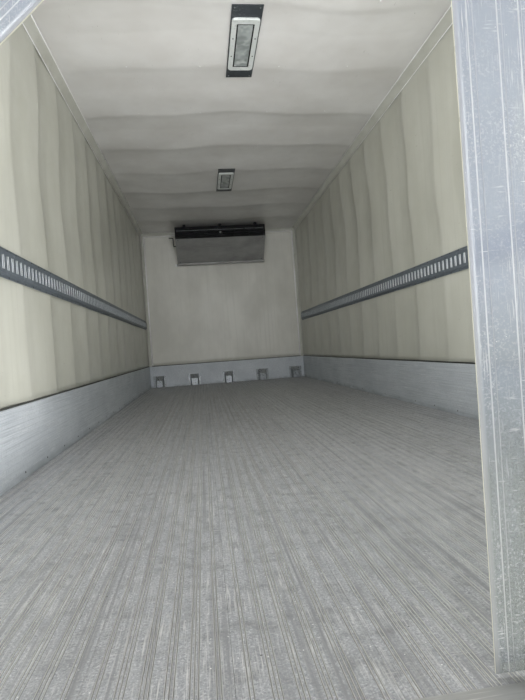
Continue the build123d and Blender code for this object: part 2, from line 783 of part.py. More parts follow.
# Strip curtain inside the doorway: seven strips hang free on the right
rail_d = 10.0
rail_inset = 5.0  # rail's end to the kick plate's face
strip_w = 200.0
strip_t = 2.5
strip_pitch = 150.0
strip_end = 26.0  # outermost strip to the kick plate's face
strip_foot = 8.0  # above the floor
strip_head = 12.0  # below the ceiling
strip_count = int((inside_half - strip_end - strip_w) / strip_pitch) + 1
strip_left = inside_half - strip_end - strip_w - (strip_count - 1) * strip_pitch
strip_low = floor_z + strip_foot
strip_top = ceiling_z - strip_head
curtain_y = frame_y + rail_d + seam
save("curtain_rail", block(-inside_half + rail_inset, inside_half - rail_inset, frame_y, frame_y + rail_d,
                           header_z, ceiling_z - snug))
strips = []
for k in range(strip_count):
    x = strip_left + k * strip_pitch
    y = curtain_y + (k % 2) * (strip_t + snug)
    strips.append(block(x, x + strip_w, y, y + strip_t, strip_low, strip_top))
save("curtain_strips_right", *strips)

# The left half is drawn aside and tied to the wall as one bunch
bunch_t = 30.0
bunch_gap = 30.0  # to the right-hand strips, along the rail
bunch_off = 12.0  # to the kick plate's face
waist_w = 80.0
foot_w = 150.0
waist_h = 60.0
tie_height = 565.0  # floor to the top of the waist
sag_in = 582.0  # wall side of the bunch to the point that the drawn edge passes through
sag_up = 362.0  # that point above the waist
bunch_x = -inside_half + bunch_off
waist_x = bunch_x + waist_w
tie_z = floor_z + tie_height
bunch = make_face([
    Polyline((bunch_x, strip_top), (strip_left - bunch_gap, strip_top)),
    ThreePointArc((strip_left - bunch_gap, strip_top), (bunch_x + sag_in, tie_z + sag_up), (waist_x, tie_z)),
    Polyline((waist_x, tie_z), (waist_x, tie_z - waist_h), (bunch_x + foot_w, strip_low),
             (bunch_x, strip_low), (bunch_x, strip_top)),
])
save("curtain_strips_left", extrude(Plane.XZ.offset(-curtain_y) * bunch, bunch_t, dir=(0, 1, 0)))
tie_h = 40.0
tie_t = 2.0
tie_lug = 20.0
tie_high = tie_z - (waist_h - tie_h) / 2
tie_low = tie_high - tie_h
tie_x0, tie_x1 = bunch_x - snug, waist_x + snug
tie_y0, tie_y1 = curtain_y - snug, curtain_y + bunch_t + snug
tie_mid = (tie_low + tie_high) / 2
tie = block(tie_x0 - tie_t, tie_x1 + tie_t, tie_y0 - tie_t, tie_y1 + tie_t, tie_low, tie_high)
tie -= block(tie_x0, tie_x1, tie_y0, tie_y1, tie_low, tie_high)
tie += block(-inside_half + tie_t, tie_x0, tie_y0 + tie_t, tie_y0 + tie_t + tie_lug,
             tie_mid - tie_lug / 2, tie_mid + tie_lug / 2)
save("curtain_tie", tie)

# Condenser unit on the nose: a moulded shell with a leaning front and a long grille
nose_half = 840.0
nose_drop = 186.0  # roof to the unit's top
nose_h = 570.0
nose_r = 60.0
crown = 110.0
nose_t = 8.0
slope = 45.0  # how far the front leans back
grille_half = 730.0
grille_low_in = 95.0
grille_high_in = 145.0
nose_high = top_z - nose_drop
nose_low = nose_high - nose_h
nose_front = front_out + nose_depth
grille_low = nose_low + grille_low_in
grille_high = nose_high - grille_high_in


def nose_outline(inset):
    """Side outline: flat foot, leaning front and round shoulder; inset for the shell's inside."""
    low, high, front = nose_low + inset, nose_high - inset, nose_front - inset
    lean_x = front - slope
    foot_arc = ThreePointArc((front - nose_r, low), (front - nose_r * quarter, low + nose_r * quarter),
                             (front, low + nose_r))
    crown_arc = ThreePointArc((lean_x, high - crown), (lean_x - crown * quarter, high - crown * quarter),
                              (lean_x - crown, high))
    return make_face([
        Line((front_out, low), (front - nose_r, low)),
        foot_arc,
        Line((front, low + nose_r), (lean_x, high - crown)),
        crown_arc,
        Polyline((lean_x - crown, high), (front_out, high), (front_out, low)),
    ])


nose_shell = extrude(Plane.YZ.offset(-nose_half) * nose_outline(0), 2 * nose_half, dir=(1, 0, 0))
nose_shell -= extrude(Plane.YZ.offset(-nose_half + nose_t) * nose_outline(nose_t), 2 * (nose_half - nose_t),
                      dir=(1, 0, 0))
nose_shell -= block(-grille_half, grille_half, nose_front - slope - crown, nose_front + nose_t,
                    grille_low, grille_high)
save("condenser_housing", nose_shell)

# Fan plate behind the grille, with two round openings and a motor on arms in each
fan_r = 132.0
fan_tip_gap = 8.0
fan_x = 370.0
plate_set = 280.0  # front wall to the fan plate
plate_t = 4.0
motor_r = 42.0
motor_l = 70.0
shaft_r = 8.0
shaft_clear = 0.08
arm_w = 14.0
arm_t = 8.0
arm_lap = 14.0  # over the plate, past the opening
fan_z = (grille_low + grille_high) / 2
plate_y = front_out + plate_set
hub_r = 40.0
hub_l = 46.0
fan_plate = block(-nose_half + nose_t, nose_half - nose_t, plate_y, plate_y + plate_t,
                  nose_low + nose_t, nose_high - nose_t)
for s in sides.values():
    facing = Pos(s * fan_x, 0, fan_z) * Rot(-90, 0, 0)
    fan_plate -= facing * Pos(0, 0, plate_y) * Cylinder(fan_r + fan_tip_gap, 4 * plate_t)
    fan_plate += facing * Pos(0, 0, plate_y - motor_l / 2) * Cylinder(motor_r, motor_l)
    fan_plate += facing * Pos(0, 0, plate_y + (hub_l - arm_t) / 2) * Cylinder(shaft_r, hub_l + arm_t)
    reach = fan_r + fan_tip_gap + arm_lap
    arm = Pos(reach / 2, 0, plate_y - arm_t / 2) * Box(reach, arm_w, arm_t)
    for turn in (90, 210, 330):
        fan_plate += facing * Rot(0, 0, turn) * arm
save("condenser_fan_plate", fan_plate)

blade_count = 5
chord = 62.0
camber = 8.0
blade_t = 3.0
blade_pitch = 26.0
blade_root = 6.0  # sunk into the hub


def fan():
    """Hub with cambered, pitched blades, turning on its local Z."""
    body = Pos(0, 0, hub_l / 2) * Cylinder(hub_r, hub_l)
    half = chord / 2
    section = make_face([
        ThreePointArc((-half, 0), (0, camber), (half, 0)),
        Line((half, 0), (half, -blade_t)),
        ThreePointArc((half, -blade_t), (0, camber - blade_t), (-half, -blade_t)),
        Line((-half, -blade_t), (-half, 0)),
    ])
    tip = math.sqrt(fan_r ** 2 - half ** 2)
    root = math.sqrt(hub_r ** 2 - half ** 2) - blade_root
    blade = extrude(Plane.YZ.offset(root) * section, tip - root, dir=(1, 0, 0))
    blade = Pos(0, 0, hub_l / 2) * Rot(blade_pitch, 0, 0) * blade
    for k in range(blade_count):
        body += Rot(0, 0, k * 360 / blade_count) * blade
    return body - Cylinder(shaft_r + shaft_clear, 4 * hub_l)


for side, s in sides.items():
    place = Pos(s * fan_x, 0, fan_z) * Rot(-90, 0, 0) * Pos(0, 0, plate_y + snug)
    save(f"condenser_fan_{side}", place * fan())

coil_t = 60.0
coil_set = 60.0  # front wall to the coil
save("condenser_coil", block(-grille_half, grille_half, front_out + coil_set, front_out + coil_set + coil_t,
                             nose_low + nose_t, nose_high - nose_t))

# Grille: a frame let into the leaning front, with level slats and three uprights
slat_pitch = 42.0
slat_t = 3.0
slat_d = 22.0
grille_frame = 16.0
grille_d = 26.0
grille_set = 2.0
upright_w = 10.0
upright_d = 12.0
gx, gz0, gz1 = grille_half - snug, grille_low + snug, grille_high - snug
lean = slope / (nose_h - crown - nose_r)
grille_y = nose_front - grille_set


def grille_bar(x0, x1, z0, z1, depth):
    """Bar whose front follows the leaning face."""
    y0 = grille_y - lean * (z0 - nose_low - nose_r)
    y1 = grille_y - lean * (z1 - nose_low - nose_r)
    return along_x([(y0, z0), (y1, z1), (y1 - depth, z1), (y0 - depth, z0)], x0, x1)


hole_x, hole_z0, hole_z1 = gx - grille_frame, gz0 + grille_frame, gz1 - grille_frame
grille = grille_bar(-gx, gx, gz0, gz1, grille_d)
grille -= block(-hole_x, hole_x, grille_y - slope - 2 * grille_d, grille_y + grille_d, hole_z0, hole_z1)
slat_z = hole_z0 + slat_pitch / 2
while slat_z < hole_z1 - slat_t:
    grille += grille_bar(-hole_x - 1, hole_x + 1, slat_z, slat_z + slat_t, slat_d)
    slat_z += slat_pitch
for x in spread(3, gx / 2):
    grille += grille_bar(x - upright_w / 2, x + upright_w / 2, hole_z0 - 1, hole_z1 + 1, upright_d)
save("condenser_grille", grille)
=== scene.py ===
"""Looks of an insulated refrigerated truck body, seen from just behind its open rear doorway.

Lengths are written in millimetres and turned to metres where a mesh, lamp or camera is made. X is to the
right seen from the rear, Y is forward and Z is up, as in the frame.
"""
import math

import bpy
import numpy as np
from mathutils import Matrix, Vector


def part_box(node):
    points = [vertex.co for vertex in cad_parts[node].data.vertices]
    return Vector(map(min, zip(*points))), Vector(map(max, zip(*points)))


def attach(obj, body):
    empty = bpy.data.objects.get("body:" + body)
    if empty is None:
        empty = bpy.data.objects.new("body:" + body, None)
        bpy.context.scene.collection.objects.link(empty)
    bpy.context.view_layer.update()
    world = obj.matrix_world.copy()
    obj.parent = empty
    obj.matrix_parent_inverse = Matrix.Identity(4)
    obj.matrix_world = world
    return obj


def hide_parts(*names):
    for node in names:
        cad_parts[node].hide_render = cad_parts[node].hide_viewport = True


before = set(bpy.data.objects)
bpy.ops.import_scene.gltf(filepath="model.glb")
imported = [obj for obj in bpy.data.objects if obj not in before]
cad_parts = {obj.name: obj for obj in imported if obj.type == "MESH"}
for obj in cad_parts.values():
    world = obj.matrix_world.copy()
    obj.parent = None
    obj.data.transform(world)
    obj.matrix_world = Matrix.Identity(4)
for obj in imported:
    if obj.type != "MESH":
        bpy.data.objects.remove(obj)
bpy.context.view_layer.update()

MM = 0.001


def node_box(name):
    """Lowest and highest corners of a node in millimetres."""
    low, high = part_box(name)
    return np.array(low) / MM, np.array(high) / MM


# Places read from the frame
plank_low, plank_high = node_box("floor_planks")
floor_z, frame_y, front_y = plank_high[2], plank_low[1], plank_high[1]
liner_low, liner_high = node_box("wall_liner_right")
liner_x, wall_in, kick_z, roof_z = liner_low[0], liner_high[0], liner_low[2], liner_high[2]
front_in = liner_high[1]
ceiling_low, ceiling_high = node_box("ceiling_liner")
ceiling_z, ceiling_half, front_liner_y = ceiling_low[2], ceiling_high[0], ceiling_high[1]
inside_half = node_box("kick_plate_right")[0][0]
track_low, track_high = node_box("load_track_right")
track_z = (track_low[2] + track_high[2]) / 2
cove_rear_y = node_box("corner_coves")[0][1]
rail_top = node_box("top_rails")[1][2]
out_x, front_out = node_box("bottom_rails")[1][:2]
evap_low, evap_high = node_box("evaporator_housing")
outlet_low, outlet_high = node_box("evaporator_outlet")
strip_low, strip_high = node_box("curtain_strips_right")
bunch_low, bunch_high = node_box("curtain_strips_left")
sides = {"left": -1, "right": 1}
RIGHT, FORWARD, BACK, UP, DOWN = (1, 0, 0), (0, 1, 0), (0, -1, 0), (0, 0, 1), (0, 0, -1)


# Camera at the photograph's place, just behind the doorway and turned slightly right
PHOTO_FOCAL_PX = 501.0
PHOTO_LONG_SIDE_PX = 700.0
SENSOR_MM = 36.0
CAMERA_X = -355.0
CAMERA_BEHIND_FRONT = 7514.0
CAMERA_ABOVE_FLOOR = 493.0
YAW, PITCH, ROLL = -6.751, -0.364, 3.969


def turn(axis, degrees):
    """Rotation about one axis, as a 3 by 3 array."""
    return np.array(Matrix.Rotation(math.radians(degrees), 3, axis))


def make_camera():
    """Columns of the turned axes are right, forward and up; Blender's camera looks along minus Z."""
    axes = turn("Z", YAW) @ turn("X", PITCH) @ turn("Y", ROLL)
    data = bpy.data.cameras.new("camera")
    data.sensor_width = SENSOR_MM
    data.lens = SENSOR_MM * PHOTO_FOCAL_PX / PHOTO_LONG_SIDE_PX
    data.clip_start = 0.02
    data.clip_end = 200.0
    camera = bpy.data.objects.new("camera", data)
    bpy.context.scene.collection.objects.link(camera)
    place = np.eye(4)
    place[:3, 0], place[:3, 1], place[:3, 2] = axes[:, 0], axes[:, 2], -axes[:, 1]
    place[:3, 3] = MM * np.array([CAMERA_X, front_y - CAMERA_BEHIND_FRONT, floor_z + CAMERA_ABOVE_FLOOR])
    camera.matrix_world = Matrix(place)
    bpy.context.scene.camera = camera


make_camera()


# Materials

def linear(code):
    """An sRGB hex colour as linear red, green, blue and alpha."""
    parts = [int(code[k:k + 2], 16) / 255.0 for k in (1, 3, 5)]
    return (*[c / 12.92 if c <= 0.04045 else ((c + 0.055) / 1.055) ** 2.4 for c in parts], 1.0)


def add(tree, kind, feeds=None, out=0, **settings):
    """Adds a shader node: settings are its attributes, feeds a value or a socket for each input.

    Gives the output called out, a list of them where out is a tuple, or the node itself where it is None.
    """
    made = tree.nodes.new("ShaderNode" + kind)
    for name, value in settings.items():
        setattr(made, name, value)
    for name, value in (feeds or {}).items():
        if isinstance(value, bpy.types.NodeSocket):
            tree.links.new(value, made.inputs[name])
        else:
            made.inputs[name].default_value = value
    if out is None:
        return made
    return [made.outputs[name] for name in out] if isinstance(out, tuple) else made.outputs[out]


class Finish:
    """One Principled surface on Object coordinates, to which layers of colour and height are added."""

    def __init__(self, name, code, **surface):
        self.material = bpy.data.materials.new(name)
        self.material.use_nodes = True
        self.tree = self.material.node_tree
        self.tree.nodes.clear()
        self.shader = add(self.tree, "BsdfPrincipled", out=None)
        add(self.tree, "OutputMaterial", {"Surface": self.shader.outputs["BSDF"]}, out=None)
        for word, value in surface.items():
            self.shader.inputs[word.replace("_", " ").title().replace("Ior", "IOR")].default_value = value
        self.where = add(self.tree, "TexCoord", out="Object")
        self.colour = linear(code)
        self.normal = None

    def cloud(self, size, stretch=(1, 1, 1), low=0.35, high=0.65, detail=3.0, seed=0.0):
        """Cloudy pattern as a share from 0 to 1, with patches size millimetres across times stretch."""
        scale = [1.0 / (MM * size * s) for s in stretch]
        placed = add(self.tree, "Mapping",
                     {"Vector": self.where, "Scale": scale, "Location": (seed, seed, seed)})
        noise = add(self.tree, "TexNoise",
                    {"Vector": placed, "Scale": 1.0, "Detail": detail, "Roughness": 0.6})
        return add(self.tree, "MapRange", {"Value": noise, "From Min": low, "From Max": high})

    def height_share(self, low, high):
        """Share that goes from 0 to 1 between two heights in millimetres."""
        up = add(self.tree, "SeparateXYZ", {"Vector": self.where}, out="Z")
        return add(self.tree, "MapRange", {"Value": up, "From Min": MM * low, "From Max": MM * high})

    def dots(self, spacing, reach, keep, seed=0.0):
        """Sparse round marks reach wide: their cells are spacing apart, and a share keep of these has one."""
        placed = add(self.tree, "Mapping", {"Vector": self.where, "Location": (seed, seed, seed)})
        away, own = add(self.tree, "TexVoronoi", {"Vector": placed, "Scale": 1.0 / (MM * spacing)},
                        out=("Distance", "Color"))
        near = add(self.tree, "MapRange", {"Value": away, "From Min": reach / spacing / 2,
                                           "From Max": reach / spacing / 3})
        pick = add(self.tree, "SeparateColor", {"Color": own})
        return self.join("MULTIPLY", near, add(self.tree, "Math", {0: pick, 1: keep}, operation="LESS_THAN"))

    def held(self, name):
        """Value kept at the points of the mesh under a name."""
        return add(self.tree, "Attribute", out="Fac", attribute_name=name)

    def join(self, operation, *shares):
        """Runs the shares through one operation in turn."""
        share = shares[0]
        for other in shares[1:]:
            share = add(self.tree, "Math", {0: share, 1: other}, operation=operation)
        return share

    def tint(self, code, *shares):
        """Colours the surface with code where all of the shares are high."""
        share = self.join("MULTIPLY", *shares)
        self.colour = add(self.tree, "Mix", {0: share, 6: self.colour, 7: linear(code)},
                          out=2, data_type="RGBA")

    def raise_by(self, height, distance, strength=1.0):
        """Adds a layer of bump whose full height is distance millimetres."""
        feeds = {"Height": height, "Distance": MM * distance, "Strength": strength}
        if self.normal is not None:
            feeds["Normal"] = self.normal
        self.normal = add(self.tree, "Bump", feeds)

    def feed(self, name, share, low, high):
        """Runs an input of the shader between two values with share."""
        value = add(self.tree, "MapRange", {"Value": share, "To Min": low, "To Max": high})
        self.tree.links.new(value, self.shader.inputs[name])

    def done(self):
        """Joins colour and bump to the shader and gives the material."""
        if isinstance(self.colour, tuple):
            self.shader.inputs["Base Color"].default_value = self.colour
        else:
            self.tree.links.new(self.colour, self.shader.inputs["Base Color"])
        if self.normal is not None:
            self.tree.links.new(self.normal, self.shader.inputs["Normal"])
        return self.material


def glass_fibre_sheet(name, code, shade, mark, roughness, seed, relief, foot=None):
    """Gel-coated glass-fibre lining: satin, faintly pebbled, cloudy with age, with rub marks and pinholes.

    Down to the height foot it has faint runs, and just above it grime. Its bump deepens the sheet's sinking.
    """
    f = Finish(name, code, roughness=roughness, coat_weight=0.12, coat_roughness=0.25, ior=1.5)
    f.tint(shade, f.cloud(420, stretch=(1, 1, 1.6), seed=seed))
    f.tint(mark, f.cloud(5, stretch=(1, 9, 2), low=0.66, high=0.74, seed=seed + 2),
           f.cloud(260, low=0.5, high=0.7, seed=seed + 4))
    f.tint(mark, f.dots(160, 6, 0.3, seed))
    f.tint(mark, f.dots(420, 12, 0.3, seed + 1))
    if foot:
        f.tint(shade, f.height_share(foot + 160, foot - 30), f.cloud(60, stretch=(1, 3, 1)))
        f.tint(shade, f.cloud(34, stretch=(1, 1, 40), low=0.52, high=0.85, detail=2.0, seed=seed + 6))
    f.raise_by(f.held("proud"), relief)
    f.raise_by(f.cloud(3.0, low=0.2, high=0.8, detail=1.0), 0.05, 0.5)
    f.raise_by(f.cloud(55, low=0.2, high=0.8, detail=1.0, seed=seed), 0.6, 0.35)
    f.feed("Roughness", f.cloud(160, seed=seed + 3), roughness * 0.8, roughness * 1.25)
    return f.done()


def rolled_metal(name, code, shade, roughness, metallic, lay, scuff, grain=0.9, shaded_above=None):
    """Rolled or brushed sheet: fine lines along lay, cloudy oxide and bright or dull scuff marks.

    Where a height is given, it is coloured near black above that height: painted shade.
    """
    f = Finish(name, code, roughness=roughness, metallic=metallic)
    f.tint(shade, f.cloud(150, stretch=[1 + 2 * v for v in lay], low=0.3, high=0.7))
    lines = f.cloud(grain, stretch=[1 + 90 * v for v in lay], low=0.25, high=0.75, detail=2.0)
    f.tint(scuff, lines, f.cloud(220, low=0.3, high=0.9, seed=3.0))
    f.tint(scuff, f.cloud(5, stretch=[1 + 26 * v for v in lay], low=0.58, high=0.7, seed=6.0),
           f.cloud(90, low=0.45, high=0.6, seed=8.0))
    # painted shade: near black above the given height, for the shadow round the outlet and under the ceiling
    if shaded_above:
        f.tint("#15161a", f.height_share(shaded_above - 0.5, shaded_above + 0.5))
    f.raise_by(lines, 0.03, 0.6)
    f.feed("Roughness", f.cloud(45, stretch=[1 + 6 * v for v in lay], seed=2.0),
           roughness * 0.8, roughness * 1.3)
    return f.done()


def spangled_zinc(name, code, bright, roughness, metallic):
    """Hot-dip galvanised steel: blue-grey crystals about 9 mm across, with pale bloom."""
    f = Finish(name, code, roughness=roughness, metallic=metallic)
    own = add(f.tree, "TexVoronoi", {"Vector": f.where, "Scale": 1.0 / (MM * 9.0)}, out="Color")
    crystal = add(f.tree, "SeparateColor", {"Color": own})
    f.tint(bright, crystal, f.cloud(30, low=0.2, high=1.0))
    f.tint(bright, f.cloud(26, low=0.6, high=0.74, seed=4.0))
    f.raise_by(f.cloud(1.6, low=0.2, high=0.8), 0.04, 0.6)
    f.feed("Roughness", crystal, roughness * 0.75, roughness * 1.2)
    return f.done()


def moulded(name, code, shade, roughness, grain=1.4, depth=0.05, dust=None, **surface):
    """Moulded or painted surface: fine even grain, soft uneven tone and a little dust."""
    f = Finish(name, code, roughness=roughness, **surface)
    f.tint(shade, f.cloud(210))
    if dust:
        f.tint(dust, f.cloud(14, low=0.5, high=0.72, seed=5.0), f.cloud(120, low=0.4, high=0.7, seed=6.0))
    f.raise_by(f.cloud(grain, low=0.2, high=0.8, detail=1.0), depth, 0.6)
    f.feed("Roughness", f.cloud(60, seed=7.0), roughness * 0.85, min(1.0, roughness * 1.2))
    return f.done()


def worn_floor():
    """Extruded aluminium planks worn by pallets: dull grey with bright scratches; the grooves' walls are
    coloured paler than the flats, painted light against their own shade, and their bottoms darker.
    """
    f = Finish("worn_plank_aluminium", "#aeb0b4", roughness=0.45, metallic=0.4)
    f.tint("#a2a4a8", f.cloud(520, stretch=(1, 2.5, 1), low=0.35, high=0.7))
    f.tint("#8e9093", f.cloud(5.5, low=0.46, high=0.66, detail=6.0, seed=12.0))
    f.tint("#d6d7d8", f.cloud(4.2, low=0.5, high=0.7, detail=6.0, seed=2.0))
    f.tint("#848586", f.cloud(46, low=0.5, high=0.75, detail=6.0, seed=13.0))
    f.tint("#d2d2d1", f.cloud(2.0, stretch=(1, 40, 1), low=0.52, high=0.66, detail=3.0, seed=4.0),
           f.cloud(110, low=0.35, high=0.6, seed=5.0))
    f.tint("#d4d4d2", f.cloud(2.2, stretch=(20, 2, 1), low=0.6, high=0.72, detail=3.0, seed=9.0),
           f.cloud(150, low=0.45, high=0.62, seed=10.0))
    f.tint("#929395", f.cloud(11, stretch=(1, 70, 1), low=0.5, high=0.72, detail=2.0, seed=20.0))
    f.tint("#f0f0ee", f.dots(15, 3, 0.3, 2.0))
    f.tint("#6c6c6a", f.dots(50, 5, 0.3, 5.0))
    # painted light: the groove walls are paler than the flats, against the shade inside them; the groove
    # bottoms are darker
    f.tint("#dcdcda", f.height_share(floor_z - 0.2, floor_z - 0.9))
    f.tint("#74736f", f.height_share(floor_z - 1.5, floor_z - 2.8))
    f.raise_by(f.cloud(2.0, stretch=(1, 40, 1), low=0.3, high=0.7, detail=3.0, seed=4.0), 0.08, 0.8)
    f.raise_by(f.cloud(7, low=0.25, high=0.75, detail=5.0, seed=15.0), 0.16, 0.7)
    f.feed("Roughness", f.cloud(14, stretch=(1, 2, 1), detail=6.0, seed=16.0), 0.38, 0.6)
    return f.done()


def worn_kick():
    """Rolled aluminium scuff plate: pale and cloudy with level scuff marks from pallets; its bluish tone is
    partly the metal's bloom and partly a painted reflection of the sky.
    """
    # bluish base tone: partly the metal's bloom, partly a painted reflection of the sky
    f = Finish("scuffed_kick_aluminium", "#dee3e8", roughness=0.55, metallic=0.2)
    f.tint("#cad0d6", f.cloud(260, stretch=(1, 2.2, 1), low=0.35, high=0.7))
    f.tint("#b9bfc5", f.cloud(3.4, stretch=(1, 150, 1), low=0.48, high=0.62, detail=2.0, seed=5.0),
           f.cloud(300, low=0.3, high=0.6, seed=6.0))
    f.tint("#eceff2", f.cloud(2.8, stretch=(1, 60, 1), low=0.56, high=0.68, detail=2.0, seed=8.0),
           f.cloud(180, low=0.4, high=0.6, seed=9.0))
    f.tint("#c3c9cf", f.cloud(12, low=0.5, high=0.72, detail=6.0, seed=3.0))
    f.tint("#858c92", f.dots(90, 4, 0.3, 3.0))
    f.tint("#aab0b5", f.height_share(floor_z + 40, floor_z + 2),
           f.cloud(80, stretch=(1, 3, 1), low=0.3, high=0.6, seed=7.0))
    f.raise_by(f.cloud(3.4, stretch=(1, 150, 1), low=0.3, high=0.7, detail=2.0, seed=5.0), 0.04, 0.6)
    f.feed("Roughness", f.cloud(80, stretch=(1, 3, 1), seed=11.0), 0.5, 0.6)
    return f.done()


def clear_pvc():
    """Soft clear PVC, bluish and gone milky with scratches; the white lines along its edges and lands'
    shoulders are painted highlight. Light passes, and shapes behind it blur.
    """
    f = Finish("scuffed_clear_pvc", "#dfe8f8", roughness=0.1, ior=1.45, transmission_weight=0.7)
    f.tint("#c8cfcc", f.height_share(floor_z + 560, floor_z + 270))
    f.tint("#eaf0f8", f.cloud(90, stretch=(1, 1, 3), low=0.5, high=0.85, seed=1.0))
    long_scratches = f.join("MULTIPLY",
                            f.cloud(1.6, stretch=(1, 1, 30), low=0.6, high=0.72, detail=2.0, seed=3.0),
                            f.cloud(90, low=0.42, high=0.65, seed=4.0))
    cross_scratches = f.join("MULTIPLY",
                             f.cloud(1.8, stretch=(18, 1, 2), low=0.62, high=0.74, detail=2.0, seed=6.0),
                             f.cloud(120, low=0.45, high=0.65, seed=7.0))
    specks = f.join("MULTIPLY", f.cloud(3.2, low=0.5, high=0.8, detail=5.0, seed=9.0),
                    f.cloud(160, low=0.3, high=0.6))
    # real scratches and specks together with painted highlight: white lines along the ridges, where the strip
    # also lets less light through
    scuffs_and_highlights = f.join("MAXIMUM", long_scratches, cross_scratches, specks, f.dots(15, 1.8, 0.3, 2.0),
                    f.held("ridge_highlight"))
    f.tint("#ffffff", scuffs_and_highlights)
    f.feed("Transmission Weight", scuffs_and_highlights, 0.7, 0.34)
    f.raise_by(f.cloud(120, stretch=(1, 1, 3), low=0.2, high=0.8, detail=1.0, seed=5.0), 0.15, 0.5)
    f.feed("Roughness", f.cloud(60, stretch=(1, 1, 4), seed=8.0), 0.07, 0.18)
    return f.done()


def woven_webbing():
    """Polyester webbing: ribs across the band 2.2 mm apart over a plain weave."""
    f = Finish("white_polyester_webbing", "#c9c8c0", roughness=0.85, sheen_weight=0.3)
    for way, gap in (("Z", 2.2), ("X", 2.8)):
        ribs = add(f.tree, "TexWave", {"Vector": f.where, "Scale": 1.0 / (MM * gap) / 2}, out="Fac",
                   bands_direction=way)
        f.tint("#8f8e86", add(f.tree, "MapRange", {"Value": ribs, "To Max": 0.35}))
        f.raise_by(ribs, 0.3, 0.6)
    f.tint("#a5a399", f.cloud(20, low=0.5, high=0.8))
    return f.done()


def fin_block():
    """Stack of pressed aluminium fin plates, drawn 4 mm apart so that they still show; the dark band between
    each two is painted shade in the gap.
    """
    f = Finish("coil_fin_aluminium", "#7d8184", roughness=0.4, metallic=0.8)
    fins_and_gap_shade = add(f.tree, "TexWave", {"Vector": f.where, "Scale": 1.0 / (MM * 4.0) / 2}, out="Fac",
               bands_direction="X")
    # painted shade: the gaps between the fin plates are coloured near black
    f.tint("#2b2e30", fins_and_gap_shade)
    f.tint("#5b5a52", f.cloud(35, low=0.5, high=0.75))
    f.raise_by(fins_and_gap_shade, 1.0, 1.0)
    return f.done()


def smooth_white(name, code, shade):
    """Prepainted aluminium skin or gel-coated shell: satin, nearly flat, with road film towards the foot."""
    f = Finish(name, code, roughness=0.42, coat_weight=0.1, coat_roughness=0.2)
    f.tint(shade, f.cloud(1400, stretch=(1, 1, 1.5), low=0.2, high=0.8, detail=1.0))
    f.tint("#c6c5be", f.height_share(floor_z + 420, floor_z - 160),
           f.cloud(160, stretch=(1, 1, 7), low=0.2, high=0.9, detail=2.0, seed=2.0))
    f.raise_by(f.cloud(900, low=0.1, high=0.9, detail=0.0, seed=3.0), 0.8, 0.2)
    f.feed("Roughness", f.cloud(500, detail=1.0, seed=5.0), 0.4, 0.48)
    return f.done()


def prismatic_lens():
    """Clear ribbed lamp lens in front of an unlit tube: mottled grey with rows of small prisms."""
    f = Finish("prismatic_lamp_lens", "#b3b9b8", roughness=0.2, coat_weight=0.5, coat_roughness=0.05)
    f.tint("#8f9694", f.cloud(70, low=0.4, high=0.65, detail=1.0, seed=2.0))
    f.tint("#d2d7d5", f.cloud(50, low=0.5, high=0.75, detail=1.0, seed=3.0))
    prisms = add(f.tree, "TexWave", {"Vector": f.where, "Scale": 1.0 / (MM * 7.0) / 2}, out="Fac",
                 bands_direction="Y")
    f.tint("#848b89", add(f.tree, "MapRange", {"Value": prisms, "To Max": 0.35}))
    f.raise_by(prisms, 0.5, 0.5)
    return f.done()


def dress(material, *names):
    """Gives carried-over nodes their finish."""
    for name in names:
        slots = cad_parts[name].data.materials
        slots.clear()
        slots.append(material)
    return material


# Linings and what seals them
wall_sheet = dress(glass_fibre_sheet("cream_gel_coat_lining", "#d1d1c6", "#c6c6ba", "#8f8e80",
                                     roughness=0.36, seed=0.0, relief=1.2, foot=kick_z),
                   "wall_liner_left", "wall_liner_right")
front_sheet = dress(glass_fibre_sheet("grey_white_gel_coat_lining", "#eae9e1", "#dad9d0", "#9a9a92",
                                      roughness=0.4, seed=7.0, relief=0.6, foot=kick_z), "wall_liner_front")
ceiling_sheet = dress(glass_fibre_sheet("white_gel_coat_lining", "#eae9e6", "#dedcd8", "#9d9b96",
                                        roughness=0.4, seed=13.0, relief=0.45), "ceiling_liner")
dress(moulded("white_pvc_cove", "#d2d2c9", "#c6c6bc", 0.38), "corner_coves")
sealant = moulded("grey_sealant", "#4a4b48", "#333431", 0.6)
white_sealant = moulded("white_silicone_bead", "#ffffff", "#f3f3ef", 0.3)

# Floor, scuff plates, tracks and small metal pieces
dress(worn_floor(), "floor_planks")
dress(rolled_metal("worn_threshold_aluminium", "#b4b5b4", "#9a9b9a", roughness=0.42, metallic=0.6,
                   lay=RIGHT, scuff="#d5d5d2"), "rear_sill")
dress(worn_kick(), "kick_plate_left", "kick_plate_right", "kick_plate_front")
dress(spangled_zinc("dull_galvanised_track", "#727b84", "#929ba3", roughness=0.46, metallic=0.45),
      "load_track_left", "load_track_right")
dress(spangled_zinc("bright_galvanised_bracket", "#a4a9ad", "#c6cacd", roughness=0.34, metallic=0.7),
      "front_wall_brackets")
# painted highlight: the slot tongues are the track's own steel, coloured near white where light catches them
tongue_highlight_paint = moulded("painted_highlight_slot_tongue", "#f2f5f7", "#e3e7ea", 0.5)
flange_paint = moulded("white_painted_flange", "#f4f5f4", "#e4e6e5", 0.4)
zinc_screw = rolled_metal("zinc_plated_screw", "#a8abac", "#7f8283", roughness=0.35, metallic=0.85,
                          lay=RIGHT, scuff="#d0d2d3")
dark_screw = rolled_metal("dulled_steel_screw", "#56595b", "#3a3c3e", roughness=0.5, metallic=0.7,
                          lay=RIGHT, scuff="#7d8082")

